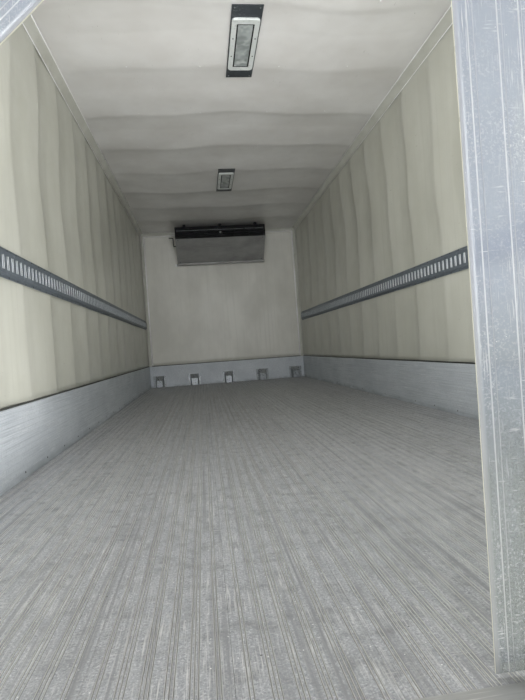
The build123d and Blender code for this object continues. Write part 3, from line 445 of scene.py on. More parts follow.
# Ceiling lamps and cooling unit
TRAY_SHADE_DROP = 7.0         # painted shade: the tray is coloured near black from this far below the outlet upwards
dress(moulded("dark_grey_powder_coat", "#41464a", "#34393c", 0.5, grain=1.0, depth=0.12, dust="#7b7f80"),
      "ceiling_lamp_bases")
dress(moulded("white_polycarbonate_bezel", "#dfe3e1", "#cdd2cf", 0.35, dust="#aeb2ae"), "ceiling_lamp_bezels")
dress(prismatic_lens(), "ceiling_lamp_lenses")
dress(rolled_metal("brushed_stainless_tray", "#a6a6a4", "#8f8f8d", roughness=0.42, metallic=0.3,
                   lay=RIGHT, scuff="#c9c9c6", shaded_above=outlet_low[2] - TRAY_SHADE_DROP), "evaporator_housing")
dress(moulded("black_abs_moulding", "#101216", "#0a0b0d", 0.48, dust="#3b3c3c"),
      "evaporator_outlet", "evaporator_line", "condenser_fan_left", "condenser_fan_right",
      "condenser_fan_plate")

# Frame, panels and doors
dress(moulded("chassis_black_paint", "#1d1e20", "#151617", 0.42, grain=6.0, dust="#4a463f"),
      "sill_left", "sill_right", "cross_members")
edge_metal = dress(rolled_metal("anodised_aluminium_edge", "#babdc0", "#afb2b5", roughness=0.34,
                                metallic=0.75, lay=FORWARD, scuff="#cfd1d3"),
                   "bottom_rails", "top_rails", "curtain_rail")
dress(rolled_metal("anodised_aluminium_post", "#babdc0", "#afb2b5", roughness=0.34, metallic=0.75, lay=UP,
                   scuff="#cfd1d3"), "front_post_left", "front_post_right")
dress(rolled_metal("brushed_stainless_frame", "#abaeb0", "#929597", roughness=0.3, metallic=0.85, lay=UP,
                   scuff="#c9cbcc"), "rear_post_left", "rear_post_right", "rear_header",
      "door_hinges_left", "door_hinges_right", "lock_rods_left", "lock_rods_right")
dress(smooth_white("prepainted_white_skin", "#dcdedd", "#d6d9d8"), "wall_panel_left", "wall_panel_right",
      "front_wall_panel", "roof_panel", "door_panel_left", "door_panel_right")
dress(moulded("foam_core_face", "#8e8f8c", "#7b7c79", 0.75, grain=4.0, depth=0.4), "floor_panel")
rubber = dress(moulded("black_rubber", "#171717", "#101010", 0.72, grain=2.0, depth=0.1, dust="#3d3c39"),
               "dock_bumpers", "door_gasket_left", "door_gasket_right")
dress(moulded("red_lens_plastic", "#a3140f", "#7d0d0a", 0.12, grain=5.0, depth=0.5, coat_weight=0.6,
              coat_roughness=0.03), "rear_lamps", "marker_lamps")

# Strip curtain
vinyl = dress(clear_pvc(), "curtain_strips_left", "curtain_strips_right")
# painted highlight: the strips' cut edges are coloured nearly opaque cream-white for the light they carry
vinyl_edge_highlight = moulded("cut_pvc_edge_highlight", "#fbfae8", "#f1f1e0", 0.3, transmission_weight=0.1)
webbing = dress(woven_webbing(), "curtain_tie")

# Nose unit
dress(smooth_white("gel_coated_white_shell", "#dfe2e0", "#d8dbd9"), "condenser_housing")
dress(moulded("black_coated_grille", "#1b1c1f", "#121315", 0.4, dust="#3f4040"), "condenser_grille")
dress(fin_block(), "condenser_coil")


# Mesh code. A form is its points in millimetres and a list of (faces, smooth, material number), where each
# array of faces holds corner numbers and all its rows have the same length.

def patch(rows, columns, closed=False):
    """Quads of a grid; closed joins its last column to its first."""
    at = np.arange(rows * columns).reshape(rows, columns)
    if closed:
        at = np.concatenate([at, at[:, :1]], axis=1)
    return np.stack([at[:-1, :-1], at[:-1, 1:], at[1:, 1:], at[1:, :-1]], axis=-1).reshape(-1, 4)


def shell(front, back, rim=0):
    """Closed shell between two grids of one size: both faces, and the rim that joins their edges."""
    rows, columns = front.shape[:2]
    count = rows * columns
    at = np.arange(count).reshape(rows, columns)
    edge = np.concatenate([at[0, :-1], at[:-1, -1], at[-1, :0:-1], at[:0:-1, 0]])
    after = np.roll(edge, -1)
    faces = patch(rows, columns)
    rim_faces = np.stack([after, edge, edge + count, after + count], axis=-1)
    points = np.concatenate([front.reshape(-1, 3), back.reshape(-1, 3)])
    return points, [(faces, True, 0), (faces[:, ::-1] + count, True, 0), (rim_faces, False, rim)]


def loft(rings, smooth=True, joined=False):
    """Solid through closed rings of points: both ends are capped, or joined to each other."""
    rows, columns = rings.shape[:2]
    points = rings.reshape(-1, 3)
    if joined:
        rings = np.concatenate([rings, rings[:1]])
        faces = patch(rows + 1, columns, closed=True) % (rows * columns)
        return points, [(faces, smooth, 0)]
    ends = np.stack([np.arange(columns)[::-1], np.arange(columns) + (rows - 1) * columns])
    return points, [(patch(rows, columns, closed=True), smooth, 0), (ends, False, 0)]


def turned(profile, count):
    """Solid of revolution about Z through rows of radius and height, from its foot to its crown."""
    radius, height = np.array(profile, float).T
    angle = np.arange(count) * 2 * math.pi / count
    rings = np.stack([np.outer(radius, np.cos(angle)), np.outer(radius, np.sin(angle)),
                      np.outer(height, np.ones(count))], axis=-1)
    return loft(rings)


def box(low, high, edge=0.0):
    """Block between two corners whose long edges are bevelled: eight-sided rings along its longest side."""
    low, high = np.array(low, float), np.array(high, float)
    way = int(np.argmax(high - low))
    a, b = [k for k in range(3) if k != way]
    cut = max(edge, 0.01)
    corners = []
    for x, y, dx, dy in ((0, 0, 0, 1), (0, 0, 1, 0), (1, 0, -1, 0), (1, 0, 0, 1),
                         (1, 1, 0, -1), (1, 1, -1, 0), (0, 1, 1, 0), (0, 1, 0, -1)):
        corners.append(((low, high)[x][a] + dx * cut, (low, high)[y][b] + dy * cut))
    rings = np.zeros((2, 8, 3))
    rings[:, :, a], rings[:, :, b] = np.array(corners).T
    rings[0, :, way], rings[1, :, way] = low[way], high[way]
    return loft(rings, smooth=False)


def facing(normal):
    """Rows are two directions across and then the normal itself."""
    normal = np.array(normal, float) / np.linalg.norm(normal)
    across = np.cross((0.0, 0.0, 1.0) if abs(normal[2]) < 0.9 else (0.0, 1.0, 0.0), normal)
    across /= np.linalg.norm(across)
    return np.stack([across, np.cross(normal, across), normal])


def set_on(form, spots, normal):
    """Copies of a form at each spot, with its Z turned to the normal."""
    points, groups = form
    spots = np.array(spots, float).reshape(-1, 3)
    copies = (spots[:, None, :] + (points @ facing(normal))[None]).reshape(-1, 3)
    first = np.arange(len(spots))[:, None, None] * len(points)
    return copies, [((faces[None] + first).reshape(-1, faces.shape[1]), smooth, number)
                    for faces, smooth, number in groups]


def bead(section, start, end, out, up):
    """Closed section carried along a straight line; its two numbers go along out and up."""
    section = np.array(section, float)
    offsets = section[:, :1] * np.array(out, float) + section[:, 1:] * np.array(up, float)
    return loft(np.stack([offsets + np.array(start, float), offsets + np.array(end, float)]))


def volume(points, groups):
    """Sum of signed tetrahedra from the origin to each face, cut into fans."""
    total = 0.0
    for faces, _, _ in groups:
        for k in range(1, faces.shape[1] - 1):
            a, b, c = points[faces[:, 0]], points[faces[:, k]], points[faces[:, k + 1]]
            total += np.einsum("ij,ij->i", a, np.cross(b, c)).sum()
    return total


def make(name, forms, materials, body="root", replaces=()):
    """One piece from closed forms, each turned outwards; it rides on a body and may stand for CAD nodes."""
    points, corners, lengths, smooths, numbers = [], [], [], [], []
    first = 0
    for form_points, groups in forms:
        centred = form_points - form_points.mean(axis=0)
        inside_out = volume(centred, groups) < 0
        for faces, smooth, number in groups:
            rows = (faces[:, ::-1] if inside_out else faces) + first
            corners.append(rows.ravel())
            lengths.append(np.full(len(rows), rows.shape[1]))
            smooths.append(np.full(len(rows), smooth))
            numbers.append(np.full(len(rows), number))
        points.append(form_points)
        first += len(form_points)
    points, corners, lengths = np.concatenate(points) * MM, np.concatenate(corners), np.concatenate(lengths)
    mesh = bpy.data.meshes.new(name)
    mesh.vertices.add(len(points))
    mesh.vertices.foreach_set("co", points.ravel())
    mesh.loops.add(len(corners))
    mesh.loops.foreach_set("vertex_index", corners.astype(np.int32))
    mesh.polygons.add(len(lengths))
    mesh.polygons.foreach_set("loop_start", (np.cumsum(lengths) - lengths).astype(np.int32))
    mesh.polygons.foreach_set("use_smooth", np.concatenate(smooths))
    mesh.polygons.foreach_set("material_index", np.concatenate(numbers).astype(np.int32))
    mesh.update(calc_edges=True)
    mesh.validate()
    for material in materials if isinstance(materials, (list, tuple)) else [materials]:
        mesh.materials.append(material)
    piece = bpy.data.objects.new(name, mesh)
    bpy.context.scene.collection.objects.link(piece)
    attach(piece, body)
    if replaces:
        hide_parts(*replaces)
    return piece


def row(start, end, pitch):
    """Evenly spaced places from start to end, about pitch apart."""
    return np.linspace(start, end, max(2, round(abs(end - start) / pitch) + 1))


# Linings: gel-coated sheets that stand proud at the posts and bows and sink between them
POST_PITCH = 406.4
BOW_PITCH = 610.0
BOWS = 11
FIRST_POST = {"left": 247.0, "right": 117.0, "front": 338.0}
FIRST_BOW = 93.0
BACK_GAP = 0.1           # a lining's back stays this far before the panel behind it
FRONT_GAP = 0.9          # and the deepest point of its front stays this far before that panel
WALL_SINK = wall_in - FRONT_GAP - liner_x
ROOF_SINK = ceiling_high[2] - FRONT_GAP - ceiling_z
FRONT_SINK = 2.5
LEVEL_OFF = 0.45         # share of a bay over which a lining falls back
TURN_IN = 0.14           # share of a bay over which that fall sets in
LINING_STEP = 10.0       # distance between a side or ceiling lining's rows of points
FRONT_STEP = 12.0
SIDE_COLUMNS, FRONT_COLUMNS, ROOF_COLUMNS = 48, 30, 60
WANDER_AT_TRACK = 5.0    # how far a side lining's creases wander at the track and below,
WANDER_MORE = 30.0       # and how much more they do at WANDER_RISE above it and higher
WANDER_RISE = 500.0
FRONT_WANDER = 6.0
ROOF_WANDER = 30.0
RIPPLE_H = 0.3           # fine ripples of the side linings die out over RIPPLE_REACH behind the front wall
RIPPLE_REACH = 2400.0
ROOF_RIPPLE_H = 0.9


def eased(value):
    """Smooth step from 0 to 1."""
    share = np.clip(value, 0.0, 1.0)
    return share * share * (3.0 - 2.0 * share)


def sunk(run, rise, first, pitch, depth, wander, seed):
    """How far a lining lies behind its posts, at a distance run back from the front and a height rise.

    From each post forwards it falls back over LEVEL_OFF of the bay, less and less steeply after a soft onset,
    and then comes back evenly to the next post. wander moves the creases to and fro by the sum of two sines.
    Each bay has its own depth, and low waves run over the whole.
    """
    shift = np.sin(rise / 310.0 + run / 900.0 + seed) + 0.6 * np.sin(rise / 137.0 - run / 1300.0 + 2 * seed)
    place = (run + wander * shift - first) / pitch
    bay = np.ceil(place)
    share = bay - place
    fall = 1.0 - (1.0 - np.clip(share / LEVEL_OFF, 0.0, 1.0) * eased(share / TURN_IN)) ** 2
    back = np.clip((1.0 - share) / (1.0 - LEVEL_OFF), 0.0, 1.0)
    own = 0.74 + 0.26 * np.sin(bay * 2.4 + seed)
    waves = 0.05 * np.sin(run / 83.0 + rise / 260.0 + seed) * np.sin(rise / 190.0 + 3 * seed)
    return depth * np.clip(np.minimum(fall, back) * own + waves + 0.05, 0.0, 1.0)


def lining(name, front, back, depth, material, replaced):
    """Shell of a lining, with how far each point stands proud, in millimetres, for its finish to draw on."""
    piece = make(name, [shell(front, back)], material, replaces=[replaced])
    proud = piece.data.attributes.new("proud", "FLOAT", "POINT")
    proud.data.foreach_set("value", np.tile(-depth.ravel(), 2).astype(np.float32))


def side_lining(side, s):
    """Front face: x is the proud plane moved out by the sunk depth, on a grid of runs and heights.

    The creases wander more the higher they are above the track, and the ripples fade out there.
    """
    run, rise = np.meshgrid(np.arange(0.0, front_in - frame_y + 1, LINING_STEP),
                            np.linspace(kick_z, roof_z, SIDE_COLUMNS), indexing="ij")
    above = np.clip((rise - track_z) / WANDER_RISE, 0.0, 1.0)
    depth = sunk(run, rise, FIRST_POST[side], POST_PITCH, WALL_SINK,
                 wander=WANDER_AT_TRACK + WANDER_MORE * above, seed=1.7 + s)
    near_front = np.clip(1.0 - run / RIPPLE_REACH, 0.0, 1.0) * (1.0 - above)
    depth = np.clip(depth + RIPPLE_H * near_front * np.sin(run / 11.0 + rise / 300.0), 0.0, WALL_SINK)
    y = np.maximum(front_in - run, frame_y)
    front = np.stack([s * (liner_x + depth), y, rise], axis=-1)
    back = np.stack([np.full_like(run, s * (wall_in - BACK_GAP)), y, rise], axis=-1)
    lining("wall_lining_" + side, front, back, depth, wall_sheet, "wall_liner_" + side)


for side, s in sides.items():
    side_lining(side, s)


def front_lining():
    """Same form as the side linings, carried across the front wall."""
    low, high = node_box("wall_liner_front")
    run, rise = np.meshgrid(np.arange(0.0, high[0] - low[0] + 1, FRONT_STEP),
                            np.linspace(low[2], high[2], FRONT_COLUMNS), indexing="ij")
    depth = sunk(run, rise, FIRST_POST["front"], POST_PITCH, FRONT_SINK, wander=FRONT_WANDER, seed=4.1)
    x = np.minimum(low[0] + run, high[0])
    front = np.stack([x, low[1] + depth, rise], axis=-1)
    back = np.stack([x, np.full_like(run, high[1] - BACK_GAP), rise], axis=-1)
    lining("front_wall_lining", front, back, depth, front_sheet, "wall_liner_front")


front_lining()


def roof_lining():
    """Same form, hung from the bows, with creases that wander across the width and a shallow ripple."""
    run, across = np.meshgrid(np.arange(0.0, front_liner_y - frame_y + 1, LINING_STEP),
                              np.linspace(-ceiling_half, ceiling_half, ROOF_COLUMNS), indexing="ij")
    depth = sunk(run, across, FIRST_BOW, BOW_PITCH, ROOF_SINK, wander=ROOF_WANDER, seed=0.6)
    ripple = np.sin(across / 190.0 + run / 260.0) * np.sin(run / 95.0 - across / 330.0)
    depth = np.clip(depth + ROOF_RIPPLE_H * ripple, 0.0, ROOF_SINK)
    y = np.maximum(front_liner_y - run, frame_y)
    front = np.stack([across, y, ceiling_z + depth], axis=-1)
    back = np.stack([across, y, np.full_like(run, ceiling_high[2] - BACK_GAP)], axis=-1)
    lining("ceiling_lining", front, back, depth, ceiling_sheet, "ceiling_liner")


roof_lining()


# Sealant: a dark bead on the kick plates and white ones along the coves
HALF_ROUND = [(math.cos(a), math.sin(a)) for a in np.linspace(-math.pi / 2, math.pi / 2, 7)]
CAULK_W, CAULK_H = 9.0, 3.4
SIDE_CAULK_IN = 1.0      # the side beads start this far inside the linings' proud faces,
FRONT_CAULK_IN = 4.5     # and the front one this far past the floor's end
LIP_W, LIP_H = 7.0, 3.0
LIP_IN = 0.5             # the ceiling's beads start this far inside its lining,
FRONT_LIP_ON = 2.0       # and the one along the front wall lies this far forward of the side ones' ends
FOOT_GAP = 8.0           # upright beads end this far above the kick plates
WIDE_LIP_W, WIDE_LIP_H = 22.0, 4.5
COVE_LEG = 45.0          # how far a cove reaches along the wall and the ceiling
CORNER = 40.0            # from the front wall to the coves' edge on the side walls and the ceiling


def half_round(width, height):
    """Section of a bead lying on a surface: height stands out from it and width goes along it."""
    return [(height * x, width / 2 * y) for x, y in HALF_ROUND]


def kick_sealant():
    """One bead along the top of each kick plate."""
    caulk, z = half_round(CAULK_W, CAULK_H), kick_z + CAULK_H
    x, y = liner_x + SIDE_CAULK_IN, front_y + FRONT_CAULK_IN
    forms = [bead(caulk, (s * x, frame_y, z), (s * x, front_y, z), (-s, 0, 0), UP) for s in sides.values()]
    forms.append(bead(caulk, (-inside_half, y, z), (inside_half, y, z), BACK, UP))
    make("kick_plate_sealant", forms, sealant)


kick_sealant()


def cove_sealant():
    """Thin beads along the edges of the coves, and wide ones where the front lining meets them."""
    lip, wide_lip = half_round(LIP_W, LIP_H), half_round(WIDE_LIP_W, WIDE_LIP_H)
    side_x, edge_x, y = ceiling_half, ceiling_half - COVE_LEG, front_y - CORNER
    foot_z, low_z, top_z = kick_z + FOOT_GAP, ceiling_z - COVE_LEG, ceiling_z + LIP_IN
    forms = []
    for s in sides.values():
        inwards = (-s, 0, 0)
        forms.append(bead(lip, (s * side_x, cove_rear_y, low_z), (s * side_x, y, low_z), inwards, UP))
        forms.append(bead(lip, (s * edge_x, cove_rear_y, top_z), (s * edge_x, y, top_z), DOWN, RIGHT))
        forms.append(bead(lip, (s * side_x, y, foot_z), (s * side_x, y, low_z), inwards, FORWARD))
    across_y = y + FRONT_LIP_ON
    forms.append(bead(lip, (-edge_x, across_y, top_z), (edge_x, across_y, top_z), DOWN, FORWARD))
    for s in sides.values():
        forms.append(bead(wide_lip, (s * edge_x, front_liner_y, foot_z), (s * edge_x, front_liner_y, low_z),
                          BACK, RIGHT))
    forms.append(bead(wide_lip, (-edge_x, front_liner_y, low_z), (edge_x, front_liner_y, low_z), BACK, UP))
    make("cove_sealant_beads", forms, white_sealant)


cove_sealant()


# Strip curtain: extruded PVC strips with paired lands along them
STRIP_W = 200.0
STRIP_T = 2.5
STRIP_PITCH = 150.0
# Middle and width of each land, and how high it stands
LANDS = ((24.0, 8.5), (68.0, 6.5), (100.0, 5.0), (132.0, 6.5), (176.0, 8.5))
LAND_H = 1.3
SHOULDER = 1.2           # width over which a land's edge rises
HUNG_IN = 1.3            # from the CAD solid's rear face to the middle of the rear strips,
HUNG_STEP = 4.6          # and from there to the middle of every other strip
SWAY = 1.3
CURL = 1.6
HUNG_ROWS = 40
strip_length = strip_high[2] - strip_low[2]
strip_count = int((strip_high[0] - strip_low[0] - STRIP_W) / STRIP_PITCH + 0.5) + 1


def land_height(across):
    """Flat-topped lands whose shoulders ease up."""
    total = np.zeros_like(across)
    for middle, width in LANDS:
        total += LAND_H * eased((width / 2 + SHOULDER / 2 - np.abs(across - middle)) / SHOULDER)
    return total


def strip_stations():
    """Places across a strip: coarse on the flats, fine on each land's shoulders."""
    fine = [middle + way * width / 2 + np.linspace(-2.1, 2.1, 9)
            for middle, width in LANDS for way in (-1, 1)]
    return np.unique(np.concatenate([np.linspace(0.0, STRIP_W, 21), *fine]))


def ridge_highlight_share(across):
    """Share of painted highlight: white lines that peak at a strip's edges and on its lands' shoulders, wider
    on the left.
    """
    share = 0.8 * eased(1.0 - np.minimum(across, STRIP_W - across) / 2.0)
    for middle, width in LANDS:
        for way, reach, most in ((-1, 1.5, 0.8), (1, 1.1, 0.7)):
            share = np.maximum(share, most * eased(1.0 - np.abs(across - middle - way * width / 2) / reach))
    return share


def strip_shell(middle, across):
    """Thickens a middle surface of rows down and columns across, with the lands on both faces."""
    down = np.gradient(middle, axis=0)
    beside = np.gradient(middle, across[0], axis=1)
    normal = np.cross(down, beside)
    normal /= np.linalg.norm(normal, axis=-1, keepdims=True)
    half = (STRIP_T / 2 + 0.5 * land_height(across))[..., None]
    return shell(middle + normal * half, middle - normal * half, rim=1)


def curtain_strip(side, number, middle, across):
    """One strip from its middle surface; its painted highlight lines along the edges and the lands' shoulders
    are kept at its points for the finish to draw on.
    """
    piece = make("curtain_strip_%s_%d" % (side, number + 1), [strip_shell(middle, across)],
                 [vinyl, vinyl_edge_highlight], replaces=["curtain_strips_" + side])
    ridge_highlight = piece.data.attributes.new("ridge_highlight", "FLOAT", "POINT")
    ridge_highlight.data.foreach_set("value", np.tile(ridge_highlight_share(across).ravel(), 2).astype(np.float32))


def hanging_strip(number):
    """Hangs straight: x sways a little, and both edges curl towards the load space.

    Every other strip hangs nearer to the load space than its neighbours.
    """
    z, across = np.meshgrid(np.linspace(strip_high[2], strip_low[2], HUNG_ROWS), strip_stations(),
                            indexing="ij")
    x = strip_low[0] + STRIP_PITCH * number + across + SWAY * np.sin((z - floor_z) / 420.0 + number)
    share = across / STRIP_W
    y = strip_low[1] + HUNG_IN + HUNG_STEP * (number % 2) + CURL * (2 * share - 1) ** 2
    curtain_strip("right", number, np.stack([x, y, z], axis=-1), across)


for number in range(strip_count):
    hanging_strip(number)

# The drawn half: the leading strip's edge follows the arc of the CAD bunch from the rail to the tie
ARC_X, ARC_Z, ARC_R = -1900.0, 2564.0, 1894.0
WAIST_Z = floor_z + 565.0
WAIST_W = 76.0
WAIST_H = 60.0
WAIST_REACH = 80.0       # from the CAD bunch's left side to the waist's right edge
FOOT_W = 140.0
WAIST_WAVES = 2.5
WAVE_H = 8.4
NARROWING = 260.0        # length over which a strip narrows to the waist,
FLARE = 420.0            # and over which it widens again by FLARE_SHARE of what it had lost
FLARE_SHARE = 0.55
DRAWN_IN = 1.4           # from the CAD solid's rear face to a drawn strip's left edge at the rail,
RAIL_LAP = 5.0           # and from there forward to its right edge
OWN_FROM, OWN_OVER = 100.0, 700.0        # it leaves for its own layer this far down, over this length
FIRST_LAYER = 5.0
LAYER = 4.8
PATH_STEP = 4.0
PATH_PAST = 700.0        # the path runs on this far below the strips' foot
SMOOTHED = 15            # steps of the path on either side of a point that it is smoothed over
STRIP_ROWS = 110
waist_edge = bunch_low[0] + WAIST_REACH
tie_z = WAIST_Z - WAIST_H / 2


def lengths_along(path):
    """Distance from the start of a path to each of its points."""
    return np.concatenate([[0.0], np.cumsum(np.linalg.norm(np.diff(path, axis=0), axis=-1))])


def drawn_path(number):
    """Right edge of a strip in x and z: it falls along its share of the CAD arc to the tie and then hangs.

    The path has even steps and is smoothed over 120 mm, with its ends held.
    """
    z = np.concatenate([np.linspace(strip_high[2], WAIST_Z, 700),
                        np.linspace(WAIST_Z, strip_low[2] - PATH_PAST, 500)[1:]])
    top_x = bunch_high[0] - STRIP_PITCH * number
    arc_x = ARC_X + np.sqrt(ARC_R ** 2 - (np.maximum(z, WAIST_Z) - ARC_Z) ** 2)
    spread = (arc_x - waist_edge) / (bunch_high[0] - waist_edge)
    flare = eased((WAIST_Z - WAIST_H - z) / FLARE)
    path = np.stack([waist_edge + (top_x - waist_edge) * spread + (FOOT_W - WAIST_W) * flare, z], axis=-1)
    length = lengths_along(path)
    even = np.arange(0.0, length[-1], PATH_STEP)
    path = np.stack([np.interp(even, length, path[:, k]) for k in (0, 1)], axis=-1)
    held = np.concatenate([np.repeat(path[:1], SMOOTHED, axis=0), path,
                           np.repeat(path[-1:], SMOOTHED, axis=0)])
    kernel = np.hanning(2 * SMOOTHED + 3)[1:-1] / np.hanning(2 * SMOOTHED + 3).sum()
    return np.stack([np.convolve(held[:, k], kernel, mode="valid") for k in (0, 1)], axis=-1)


def drawn_strip(number):
    """The strip lies left of its path and ends at its own length.

    Each row across is square to the path, full width at first and narrowed to the waist at the tie, where it
    is waved. Each strip has its own layer, which it takes up as it leaves the rail.
    """
    path = drawn_path(number)
    length = lengths_along(path)
    stops = np.linspace(0.0, strip_length, STRIP_ROWS)
    edge_x, edge_z = (np.interp(stops, length, path[:, k])[:, None] for k in (0, 1))
    way_x, way_z = np.gradient(edge_x, axis=0), np.gradient(edge_z, axis=0)
    size = np.hypot(way_x, way_z)
    from_waist = stops[:, None] - np.interp(-tie_z, -path[:, 1], length)
    narrow = np.where(from_waist < 0, 1.0 - eased(-from_waist / NARROWING),
                      1.0 - FLARE_SHARE * eased(from_waist / FLARE))
    width = STRIP_W + (WAIST_W - STRIP_W) * narrow
    stations = strip_stations()
    share = stations[None, :] / STRIP_W
    left = (1.0 - share) * width
    x = edge_x + left * way_z / size
    z = edge_z - left * way_x / size
    own = eased((stops[:, None] - OWN_FROM) / OWN_OVER)
    wave = WAVE_H * (1.0 - width / STRIP_W) * np.sin(2 * math.pi * WAIST_WAVES * share)
    layered = (1.0 - own) * RAIL_LAP * share + own * (FIRST_LAYER + LAYER * number)
    y = strip_low[1] + DRAWN_IN + layered + wave
    middle = np.stack([x, y + 0 * x, np.minimum(z, strip_high[2])], axis=-1)
    curtain_strip("left", number, middle, np.broadcast_to(stations, x.shape))


for number in range(strip_count):
    drawn_strip(number)

BAND_HALF_H = 20.0
BAND_T = 1.6
BAND_ROOM = 5.0          # between the bunch's sides and the band
BAND_HALF_D = 22.5
BAND_MIDDLE = 21.0       # from the CAD solid's rear face
BAND_SLOPE = 2.0         # rise and fall of the band from front to back
TAB_HALF_H = 9.0
TAB_NEAR, TAB_FAR = 12.0, 10.0           # the tab's faces, behind the band's middle
TAB_LAP = 2.0            # how far the tab reaches into the bunch


def tie_band():
    """Webbing band round the waist: a rounded loop in plan with a flat section, and a tab to the wall."""
    angle = np.linspace(0.0, 2 * math.pi, 48, endpoint=False)
    half_x, half_y = WAIST_W / 2 + BAND_ROOM, BAND_HALF_D
    round_x = np.sign(np.cos(angle)) * np.abs(np.cos(angle)) ** 0.5
    round_y = np.sign(np.sin(angle)) * np.abs(np.sin(angle)) ** 0.5
    waist_left = waist_edge - WAIST_W
    centre_x, centre_y = waist_left + WAIST_W / 2, strip_low[1] + BAND_MIDDLE
    level = tie_z + BAND_SLOPE * np.sin(angle)
    rings = []
    for grow, rise in ((0.0, -BAND_HALF_H), (BAND_T, -BAND_HALF_H),
                       (BAND_T, BAND_HALF_H), (0.0, BAND_HALF_H)):
        rings.append(np.stack([centre_x + (half_x + grow) * round_x, centre_y + (half_y + grow) * round_y,
                               level + rise], axis=-1))
    band = loft(np.stack(rings, axis=1), smooth=False, joined=True)
    wall_x = node_box("curtain_tie")[0][0]
    tab = box((wall_x, centre_y - TAB_NEAR, tie_z - TAB_HALF_H),
              (waist_left + TAB_LAP, centre_y - TAB_FAR, tie_z + TAB_HALF_H))
    make("curtain_tie_band", [band, tab], webbing, replaces=["curtain_tie"])


tie_band()


# Fastenings: rows of radius and height from foot to crown
RIVET = [(4.6, -0.4), (4.6, 0.5), (4.0, 1.3), (2.6, 2.0), (0.6, 2.3)]
SCREW = [(5.6, -0.4), (5.6, 1.0), (4.9, 2.0), (2.6, 2.5), (2.4, 1.2), (0.5, 1.0)]
BOLT = [(11.0, -0.4), (11.0, 1.6), (8.6, 1.7), (8.6, 6.4), (7.8, 7.2), (0.8, 7.2)]


def fastener(profile, size, count):
    """A profile times size, turned with count sides."""
    return turned([(radius * size, height * size) for radius, height in profile], count)


rivet = fastener(RIVET, size=1.0, count=10)
small_screw = fastener(SCREW, size=0.75, count=12)
small_bolt = fastener(BOLT, size=0.75, count=6)

BRACKET_PITCH = 508.0
BRACKET_FLANGE_T = 3.5
BOLT_OUT = 78.0          # from a bracket's middle to its bolts, whose heights above the floor are BOLT_UPS
BOLT_UPS = (38.0, 124.0)
bolt_spots = [(x + way * BOLT_OUT, front_y - BRACKET_FLANGE_T, floor_z + up)
              for x in np.arange(-2, 3) * BRACKET_PITCH for way in (-1, 1) for up in BOLT_UPS]
make("bracket_bolts", [set_on(small_bolt, bolt_spots, BACK)], zinc_screw)

# Load tracks: rivets in both flanges, and behind each slot of the web the tongue that was bent back from it,
# coloured near white as painted highlight
TRACK_T = 2.5
WEB_OFF_WALL = 11.0
SLOT_PITCH = 50.8
SLOT_HALF_H = 29.0
SLOT_HALF_W = 10.0
RIM_W, RIM_H = 4.0, 1.4
RIVET_PITCH = 101.6
FIRST_RIVET = 40.0       # from the track's rear end
RIVET_UP = 58.0
track_back = track_high[0]
rivet_ys = np.arange(track_low[1] + FIRST_RIVET, track_high[1], RIVET_PITCH)
track_rivet = fastener(RIVET, size=0.8, count=8)
track_forms = []
for s in sides.values():
    spots = [(s * (track_back - TRACK_T), y, track_z + up) for y in rivet_ys for up in (-RIVET_UP, RIVET_UP)]
    track_forms.append(set_on(track_rivet, spots, (-s, 0, 0)))
make("track_rivets", track_forms, dark_screw)

slot_count = int((track_high[1] - track_low[1]) / SLOT_PITCH) - 1
slot_ys = (track_low[1] + track_high[1]) / 2 + (np.arange(slot_count) - (slot_count - 1) / 2) * SLOT_PITCH
slot_spots = [(0.0, y, track_z) for y in slot_ys]
web_back = track_back - WEB_OFF_WALL
# A tongue's section: distances from the middle plane and along the track from the slot's middle
tongue = np.array([(web_back, 11.0), (web_back + 8.5, -8.0), (web_back + 9.3, -7.4), (web_back + 0.8, 11.6)])


def slot_tongues(side, s):
    """A slanted tongue from each slot's far edge to the wall, and a thin half-round rim on that edge, both
    near white: painted highlight of the lit slot edges.
    """
    rings = np.array([[(s * x, y, z) for x, y in tongue] for z in (-SLOT_HALF_H, SLOT_HALF_H)])
    face_x = s * (web_back - TRACK_T)
    rim = bead(half_round(RIM_W, RIM_H), (face_x, SLOT_HALF_W, -SLOT_HALF_H),
               (face_x, SLOT_HALF_W, SLOT_HALF_H), (-s, 0, 0), FORWARD)
    forms = [set_on(form, slot_spots, UP) for form in (loft(rings, smooth=False), rim)]
    make("track_slot_tongues_" + side, forms, tongue_highlight_paint)


for side, s in sides.items():
    slot_tongues(side, s)

KICK_SCREW_PITCH = 305.0
FIRST_KICK_SCREW = 90.0  # from the rear frame
KICK_SCREW_UP = 24.0
kick_ys = np.arange(frame_y + FIRST_KICK_SCREW, front_y, KICK_SCREW_PITCH)
kick_spots = {s: [(s * inside_half, y, floor_z + KICK_SCREW_UP) for y in kick_ys] for s in sides.values()}
make("kick_plate_screws", [set_on(small_screw, kick_spots[s], (-s, 0, 0)) for s in sides.values()],
     dark_screw)

# Ceiling lamps: rivets at the bases' corners, screws in the bezels and a rubber seal round each lens
LAMP_FROM_FRONT = (4587.0, 2229.0)
LENS_LENGTH = 415.0
SEAL_W, SEAL_H = 8.0, 1.6
BASE_RIVET_X, BASE_RIVET_Y = 68.0, 325.0
BEZEL_SCREW_X = 63.5
BEZEL_SCREW_YS = (-80.0, 90.0)
lamp_ys = [front_y - distance for distance in LAMP_FROM_FRONT]
base_z, bezel_z = node_box("ceiling_lamp_bases")[0][2], node_box("ceiling_lamp_bezels")[0][2]
corner_spots = [(x, y + way * BASE_RIVET_Y, base_z)
                for y in lamp_ys for x in (-BASE_RIVET_X, BASE_RIVET_X) for way in (-1, 1)]
make("lamp_base_rivets", [set_on(rivet, corner_spots, DOWN)], zinc_screw)
bezel_spots = [(x, y + along, bezel_z)
               for y in lamp_ys for x in (-BEZEL_SCREW_X, BEZEL_SCREW_X) for along in BEZEL_SCREW_YS]
